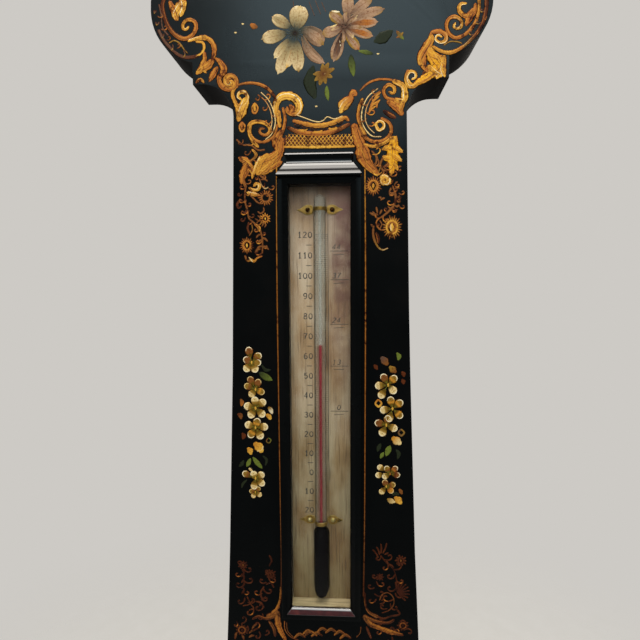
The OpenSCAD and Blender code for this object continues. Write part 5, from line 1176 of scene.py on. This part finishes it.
# painted shade: both colours go dark towards the tube's edges
flushed = add(tree, "ShaderNodeValToRGB", {"Fac": aside}, ((0.0, "#7C3A38"), (0.35, "#9A6A62"), (0.7, "#A59684"),
                                                           (0.84, "#A59684"), (0.95, "#2A261E")))
empty = add(tree, "ShaderNodeValToRGB", {"Fac": aside}, ((0.0, "#B4B2A8"), (0.84, "#A8A598"), (0.95, "#38342C")))
above = add(tree, "ShaderNodeMath", {0: place["Z"], 1: SPIRIT_TOP}, operation="GREATER_THAN")
bulb = height_share(tree, BULB_TOP, BULB_TOP - 1.5 * MM)
veil = add(tree, "ShaderNodeMix", {0: above, 6: flushed, 7: empty}, data_type="RGBA")
veil = add(tree, "ShaderNodeMix", {0: 1.0, 6: veil, 7: tree.nodes["tint"]}, data_type="RGBA", blend_type="MULTIPLY")
veil = add(tree, "ShaderNodeMix", {0: bulb, 6: veil, 7: linear("#040304")}, data_type="RGBA")
# painted shade: the veil thickens towards the edges
rim = add(tree, "ShaderNodeMapRange", {"Value": aside, "From Min": 0.84, "From Max": 0.95, "To Min": 0.2,
                                       "To Max": 0.75})
thick = add(tree, "ShaderNodeMapRange", {"Value": bulb, "To Min": rim, "To Max": 0.95})
shade(tree, Base_Color=veil, Alpha=thick)
dress(tube_glass, "thermometer_tube")

# Dyed spirit of wine: crimson in the thin bore, too deep to see into in the bulb
spirit = finish("crimson_spirit", 6, ((0.3, "#7A1226"), (0.7, "#8C1A2E")), (0.2, 0.3), 0.002, Specular_IOR_Level=0.1)
dress(turning(spirit, -0.459, -0.466, "#0A0506"), "thermometer_spirit")

# Lacquered sheet brass: olive-gold, brown where the lacquer failed
old_brass = finish("lacquered_sheet_brass", 4.2, ((0.3, "#503E1C"), (0.52, "#866A34"), (0.75, "#A88A4E")), (0.7, 0.5),
                   0.02, detail=5.0, Metallic=1.0)
# The same brass made pale on the rounded edges of the straps and on the pin heads: painted highlights; the upper pin
# heads are darkened to brown
brass_edge_highlight, pin_heads = (
    finish(name, 2.1, ((0.3, "#8E7E48"), (0.7, "#CFC088")), (0.45, 0.6), 0.01, detail=3.0, Metallic=1.0)
    for name in ("brass_edge_painted_highlight", "brass_pin_heads"))
# the rounded edges take the pale brass: painted highlights
straps = rounded_copy("tube_straps", "tube_straps_burnished", (old_brass, brass_edge_highlight), (0.22, lambda e: True),
                      steps=2, flat_mm2=6)
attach(straps, "case")
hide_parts("tube_straps")
dress(turning(pin_heads, -0.3, -0.28, "#3C2412"), "strap_pins")

# ---- Dial -------------------------------------------------------------------------------------------------
# The dial is a silvered brass disc screwed to the core in the opening of the face. Inches of mercury from
# 28 to 31 are cut round it, 100 degrees of arc to the inch, with tenths, twentieths and hundredths.
dress(silvered("silvered_brass_dial", (1, 1, 0.6), -1.4, -0.6, 0.35), "dial_plate")
DIAL_Y = -28.5
MID_INCHES, TURN_PER_INCH = 29.5, 100.0
dial_cuts = []
for radius, pen in ((94.6, 0.7), (89.2, 0.5), (86.6, 0.9), (62.0, 0.4), (60.8, 0.7), (27.0, 0.7), (25.8, 0.35)):
    brush(dial_cuts, "d", (pen,), [on_dial(radius, a) for a in range(0, 361, 5)])
for step, inner in ((1, 91.4), (5, 90.4), (10, 89.2)):
    for turn in range(-150, 151, step):
        brush(dial_cuts, "d", (0.35 if step == 1 else 0.55,), [on_dial(94.4, turn), on_dial(inner, turn)])
for tenth in range(280, 311):
    turn = (tenth / 10 - MID_INCHES) * TURN_PER_INCH
    text, tall, radius = (str(tenth // 10), 10.0, 72.0) if tenth % 10 == 0 else (str(tenth % 10), 3.4, 81.2)
    a, (x, z) = math.radians(turn), on_dial(radius, turn)
    half = (FIGURE_PITCH if len(text) == 2 else FIGURE_WIDE / 2) * tall
    figures(dial_cuts, text, x + half * math.cos(a), z - half * math.sin(a), tall, turn=a)
for k in range(16):
    turn = k * 22.5
    tip, wide = (58, 8) if k % 4 == 0 else (50, 6) if k % 2 == 0 else (42, 4)
    brush(dial_cuts, "d", (0.4,), [on_dial(29, turn - wide), on_dial(tip, turn), on_dial(29, turn + wide)])
    brush(dial_cuts, "d", (0.2,), [on_dial(29, turn), on_dial(tip, turn)])
engraving = plain_mesh("dial_engraving", stroke_paths(dial_cuts, DIAL_Y, height=0.03, fine=0.03), stroke_tree,
                       Step=2.2 * MM, Least=4.0, Ragged=0.0, Plane=DIAL_Y * MM, Paint=wax)
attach(engraving, "case")

# ---- Bezel and hands --------------------------------------------------------------------------------------
# The bezel is a spun brass ring, hinged at the left and sprung on a peg at the right; it holds the convex
# glass. The indicator hand is blued steel, the set hand is sawn from sheet brass.

# Spun brass: warm yellow, bright on the curve, browner in its hollows
spun_brass = finish("spun_brass", 9, ((0.3, "#9C7636"), (0.55, "#C8A256"), (0.8, "#DCBE78")), (0.36, 0.2), 0.02,
                    detail=6.0, Metallic=1.0)
dress(spun_brass, "bezel", "glass_ring", "bezel_hinge_plate", "catch_peg", "dial_screws", "set_hand", "set_pipe",
      "key_bush", "pulley", "arbor_cock", "cock_screws", "rod_brackets", "set_wheel", "key_wheel", "rod_upper_wheel",
      "rod_lower_wheel")
# Blued steel: dark blue, drifting to purple where the heat ran further
dress(finish("blued_steel", 11, ((0.3, "#1B2440"), (0.6, "#2A3968"), (0.8, "#3B3A66")), (0.22, 0.34), 0.004,
             detail=3.0, Metallic=1.0), "indicator_hand")
# Drawn steel of the pins and arbors: grey, with a fine even tooth
dress(finish("drawn_steel", 1.2, ((0.3, "#7E7F82"), (0.7, "#B4B5B8")), (0.25, 0.45), 0.004, detail=3.0, Metallic=1.0),
      "bezel_hinge_pin", "hand_arbor", "setting_rod", "key_shaft", "door_hinge_pin")

# ---- Movement ---------------------------------------------------------------------------------------------
# A bent glass siphon holds the mercury. A glass float on its open end hangs by a silk thread from the pulley
# on the arbor of the hand, with a lighter weight on the other side; cork blocks bed the glass in the case.

# Mercury: a liquid mirror, dulled a little by its skin
dress(finish("mercury", 3.3, ((0.3, "#B9BBBE"), (0.7, "#D6D7D9")), (0.04, 0.1), 0.002, detail=1.0, Metallic=1.0),
      "mercury")
# Twisted silk: soft cream, with a sheen along the ply
dress(finish("twisted_silk", 0.5, ((0.35, "#A89A78"), (0.65, "#DED3B4")), (0.5, 0.7), 0.03, (1, 1, 0.4), 2.0,
             Sheen_Weight=0.4), "thread_turn", "float_thread", "counter_thread")
# Opal glass of the float and weight: cloudy white, letting a little light through
dress(finish("opal_glass_weight", 4.5, ((0.3, "#C9D3D0"), (0.7, "#E6ECEA")), (0.08, 0.16), 0.004, detail=2.0, IOR=1.5,
             Transmission_Weight=0.3), "float_plunger", "counterweight")
# Cut cork: warm tan with dark pits
dress(finish("cut_cork", 2.4, ((0.32, "#5E3D20"), (0.45, "#A87C4C"), (0.65, "#C49A68")), (0.95, 0.75), 0.3,
             detail=5.0), "cork_blocks")
# Turned bone: ivory-coloured, with fine brown canals along the turning
dress(finish("turned_bone", 0.7, ((0.3, "#B9A27A"), (0.5, "#E0D4B8"), (0.8, "#EDE5D0")), (0.5, 0.25), 0.03,
             (1, 0.1, 1), 3.0), "key_knob")

# ---- Back -------------------------------------------------------------------------------------------------
# A round mahogany door on a brass butt hinge covers the movement, shut by a turn button. Two thin mahogany
# strips are screwed over the tube; the brass hanger plate is let in and screwed at the top.

# Oiled mahogany: red-brown, with darker upright figure and open pores
mahogany = grained_wood("oiled_mahogany", "#4C2613", "#663519", "#7A4520", 5.0, 0.38)
for node, name, body in (("back_door", "back_door_eased", "back_door"),
                         ("upper_tube_cover", "upper_tube_cover_eased", "case"),
                         ("lower_tube_cover", "lower_tube_cover_eased", "case")):
    made = rounded_copy(node, name, (mahogany, mahogany), (
        0.5, lambda e: max(f.normal.y for f in e.link_faces) > 0.9 and e.calc_length() > 0.0021))
    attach(made, body)
    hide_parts(node)
dress(old_brass, "hanger_plate", "door_case_leaf", "door_leaf", "turn_button", "button_screw")


def slotted_screw(head_r, dome, shank_r, length):
    """A wood screw along -Y from the origin: head face at the top (Y = dome), slot across it."""
    shape = bmesh.new()
    rings, sides = [], 20
    for radius, depth in ((shank_r * 0.4, -length), (shank_r, -length * 0.75), (shank_r, -(head_r - shank_r)),
                          (head_r, 0.0), (head_r * 0.96, dome * 0.5), (head_r * 0.8, dome)):
        rings.append([shape.verts.new((radius * math.cos(2 * math.pi * k / sides), depth,
                                       radius * math.sin(2 * math.pi * k / sides))) for k in range(sides)])
    for low, high in zip(rings, rings[1:]):
        for k in range(sides):
            shape.faces.new((low[k], high[k], high[(k + 1) % sides], low[(k + 1) % sides]))
    shape.faces.new(rings[0][::-1])
    top = rings[-1]
    slot_r, deep = head_r * 0.13, head_r * 0.28
    reach = math.sqrt((head_r * 0.8) ** 2 - slot_r ** 2)
    walls = []
    for side in (1, -1):
        half = sorted((v for v in top if side * v.co.x > slot_r), key=lambda v: v.co.z * side)
        ends = [shape.verts.new((side * slot_r, dome, side * z)) for z in (-reach, reach)]
        foot = [shape.verts.new((side * slot_r, dome - deep, side * z)) for z in (-reach, reach)]
        shape.faces.new([ends[0]] + half + [ends[1]])
        shape.faces.new((ends[1], foot[1], foot[0], ends[0]))
        walls += foot
    shape.faces.new(walls)
    bmesh.ops.recalc_face_normals(shape, faces=shape.faces)
    mesh = bpy.data.meshes.new("slotted_screw")
    shape.to_mesh(mesh)
    shape.free()
    return bpy.data.objects.new("slotted_screw", mesh)


def screws_tree():
    """A screw at each point, turned at random about its own axis."""
    tree, given = new_tree("driven_screws", Screw="Object", Seed="Int", Tilt="Float", Metal="Material")
    screw = add(tree, "GeometryNodeObjectInfo", {"Object": given["Screw"]}).outputs["Geometry"]
    turn = add(tree, "FunctionNodeRandomValue", {2: 0.0, 3: 3.1, "Seed": given["Seed"]}, data_type="FLOAT")
    turn = add(tree, "ShaderNodeCombineXYZ", {"X": given["Tilt"], "Y": turn})
    row = add(tree, "GeometryNodeInstanceOnPoints", {"Points": given["Geometry"], "Instance": screw,
                                                     "Rotation": turn})
    return finish_tree(tree, row, given["Metal"])


driven = screws_tree()


def node_centres(node):
    """Middle of each loose solid of a CAD node, by islands of its mesh."""
    shape = bmesh.new()
    shape.from_mesh(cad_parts[node].data)
    bmesh.ops.remove_doubles(shape, verts=shape.verts, dist=2e-6)
    left, found = set(shape.verts), []
    while left:
        island, edge_of = set(), [left.pop()]
        while edge_of:
            v = edge_of.pop()
            island.add(v)
            for e in v.link_edges:
                w = e.other_vert(v)
                if w in left:
                    left.discard(w)
                    edge_of.append(w)
        low = [min(v.co[i] for v in island) for i in range(3)]
        high = [max(v.co[i] for v in island) for i in range(3)]
        found.append([(a + b) / 2 for a, b in zip(low, high)] + [low[1], high[1]])
    shape.free()
    return sorted(found)


for name, body, nodes, head_r, dome, shank, length, front in (
        ("back_screws_slotted", "case", ("cover_screws", "hanger_screws", "case_leaf_screws"), 2.6, 0.02, 1.3, 9, 0),
        ("door_leaf_screws_slotted", "back_door", ("door_leaf_screws",), 1.7, 0.5, 0.9, 3, 0),
        ("bezel_hinge_screws_slotted", "case", ("bezel_hinge_screws",), 2.2, 1.2, 1.3, 7, 1)):
    places = []
    for node in nodes:
        for x, _, z, back, fore in node_centres(node):
            places.append((x, back + dome * MM if front else fore - dome * MM, z))
    points = bpy.data.meshes.new("screw_places")
    points.from_pydata(places, [], [])
    pattern = slotted_screw(head_r * MM, dome * MM, shank * MM, length * MM)
    bpy.context.scene.collection.objects.link(pattern)
    made = plain_mesh(name, points, driven, Screw=pattern, Seed=4, Tilt=math.pi if front else 0.0, Metal=old_brass)
    bpy.data.objects.remove(pattern)
    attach(made, body)
    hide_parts(*nodes)

# ---- Studio -----------------------------------------------------------------------------------------------
# A plain pale floor under the barometer that melts into a pale world, a cool window high in front and a soft
# light overhead; the camera stands close in front of the thermometer, as the photographer did.
floor_z = cad_low.z - 0.0005
floor_mesh = bpy.data.meshes.new("floor")
FLOOR_HALF = 3
corners = [(x * FLOOR_HALF, y * FLOOR_HALF, floor_z) for x, y in ((-1, -1), (1, -1), (1, 1), (-1, 1))]
floor_mesh.from_pydata(corners, [], [(0, 1, 2, 3)])
floor = bpy.data.objects.new("floor", floor_mesh)
bpy.context.scene.collection.objects.link(floor)
# Floor paper: matt and pale, gone to nothing a metre from the barometer
paper = finish("pale_floor_paper", 33, ((0.3, "#DCDAD5"), (0.7, "#E1DFDB")), (0.85, 0.95), 0.01, detail=3.0,
               Specular_IOR_Level=0.1)
tree = paper.node_tree
away = add(tree, "ShaderNodeVectorMath", {0: tree.nodes["where"].outputs["Object"], 1: (1, 1, 0)},
           operation="MULTIPLY")
away = add(tree, "ShaderNodeVectorMath", {0: away}, operation="LENGTH")
fade = add(tree, "ShaderNodeMapRange", {"Value": away, "From Min": 0.35, "From Max": 1.1, "To Min": 1.0,
                                        "To Max": 0.0}, interpolation_type="SMOOTHSTEP")
shade(tree, Alpha=fade)
floor_mesh.materials.append(paper)

world = bpy.data.worlds.new("pale_studio")
world.use_nodes = True
tree = world.node_tree
sky = tree.nodes["Background"]
connect(tree, sky, {"Color": linear("#F1F0EC"), "Strength": 0.4})
seen = add(tree, "ShaderNodeBackground", {"Color": linear("#CDCAC5"), "Strength": 1.0})
ray = add(tree, "ShaderNodeLightPath").outputs
pale = add(tree, "ShaderNodeMath", {0: ray["Is Camera Ray"], 1: ray["Is Glossy Ray"]}, operation="MAXIMUM")
pale = add(tree, "ShaderNodeMath", {0: pale, 1: ray["Is Transmission Ray"]}, operation="MAXIMUM")
both = add(tree, "ShaderNodeMixShader", {0: pale, 1: sky, 2: seen})
connect(tree, tree.nodes["World Output"], {"Surface": both})
bpy.context.scene.world = world

for name, place, target, size, radiance, colour in (
        ("window_in_front", (0.03, -0.75, 0.3), (0.03, 0, -0.2), (0.66, 0.85), 4.1, "#E4ECEE"),
        ("light_overhead", (-0.07, -0.25, 0.9), (-0.07, -0.2, -0.3), (0.8, 1.0), 7.0, "#FFF9F0"),
        ("light_behind", (0.5, 1.2, 0.4), (0, 0, -0.5), (0.9, 0.9), 2.2, "#FFF8EE")):
    lamp = bpy.data.lights.new(name, "AREA")
    lamp.shape, lamp.size, lamp.size_y = "RECTANGLE", size[0], size[1]
    lamp.energy = math.pi * size[0] * size[1] * radiance
    lamp.color = linear(colour)[:3]
    made = bpy.data.objects.new(name, lamp)
    made.location = place
    made.rotation_euler = (Vector(target) - Vector(place)).to_track_quat("-Z", "Y").to_euler()
    made.visible_camera = False
    bpy.context.scene.collection.objects.link(made)

PITCH, YAW, ROLL = math.radians(5.0), math.radians(3.2), math.radians(-0.3)
EYE, FOCAL_PX, PICTURE_PX = (0.01526, -0.308, -0.31104), 474.0, 640.0
ahead = Vector((-math.sin(YAW) * math.cos(PITCH), math.cos(YAW) * math.cos(PITCH), -math.sin(PITCH)))
level = ahead.cross(Vector((0, 0, 1))).normalized()
upward = level.cross(ahead)
right = math.cos(ROLL) * level + math.sin(ROLL) * upward
over = -math.sin(ROLL) * level + math.cos(ROLL) * upward
lens = bpy.data.cameras.new("camera")
lens.sensor_width = 36.0
lens.lens = lens.sensor_width * FOCAL_PX / PICTURE_PX
lens.clip_start = 0.01
camera = bpy.data.objects.new("camera", lens)
camera.matrix_world = Matrix.Translation(EYE) @ Matrix((right, over, -ahead)).transposed().to_4x4()
bpy.context.scene.collection.objects.link(camera)
bpy.context.scene.camera = camera
bpy.context.scene.view_settings.view_transform = "Standard"
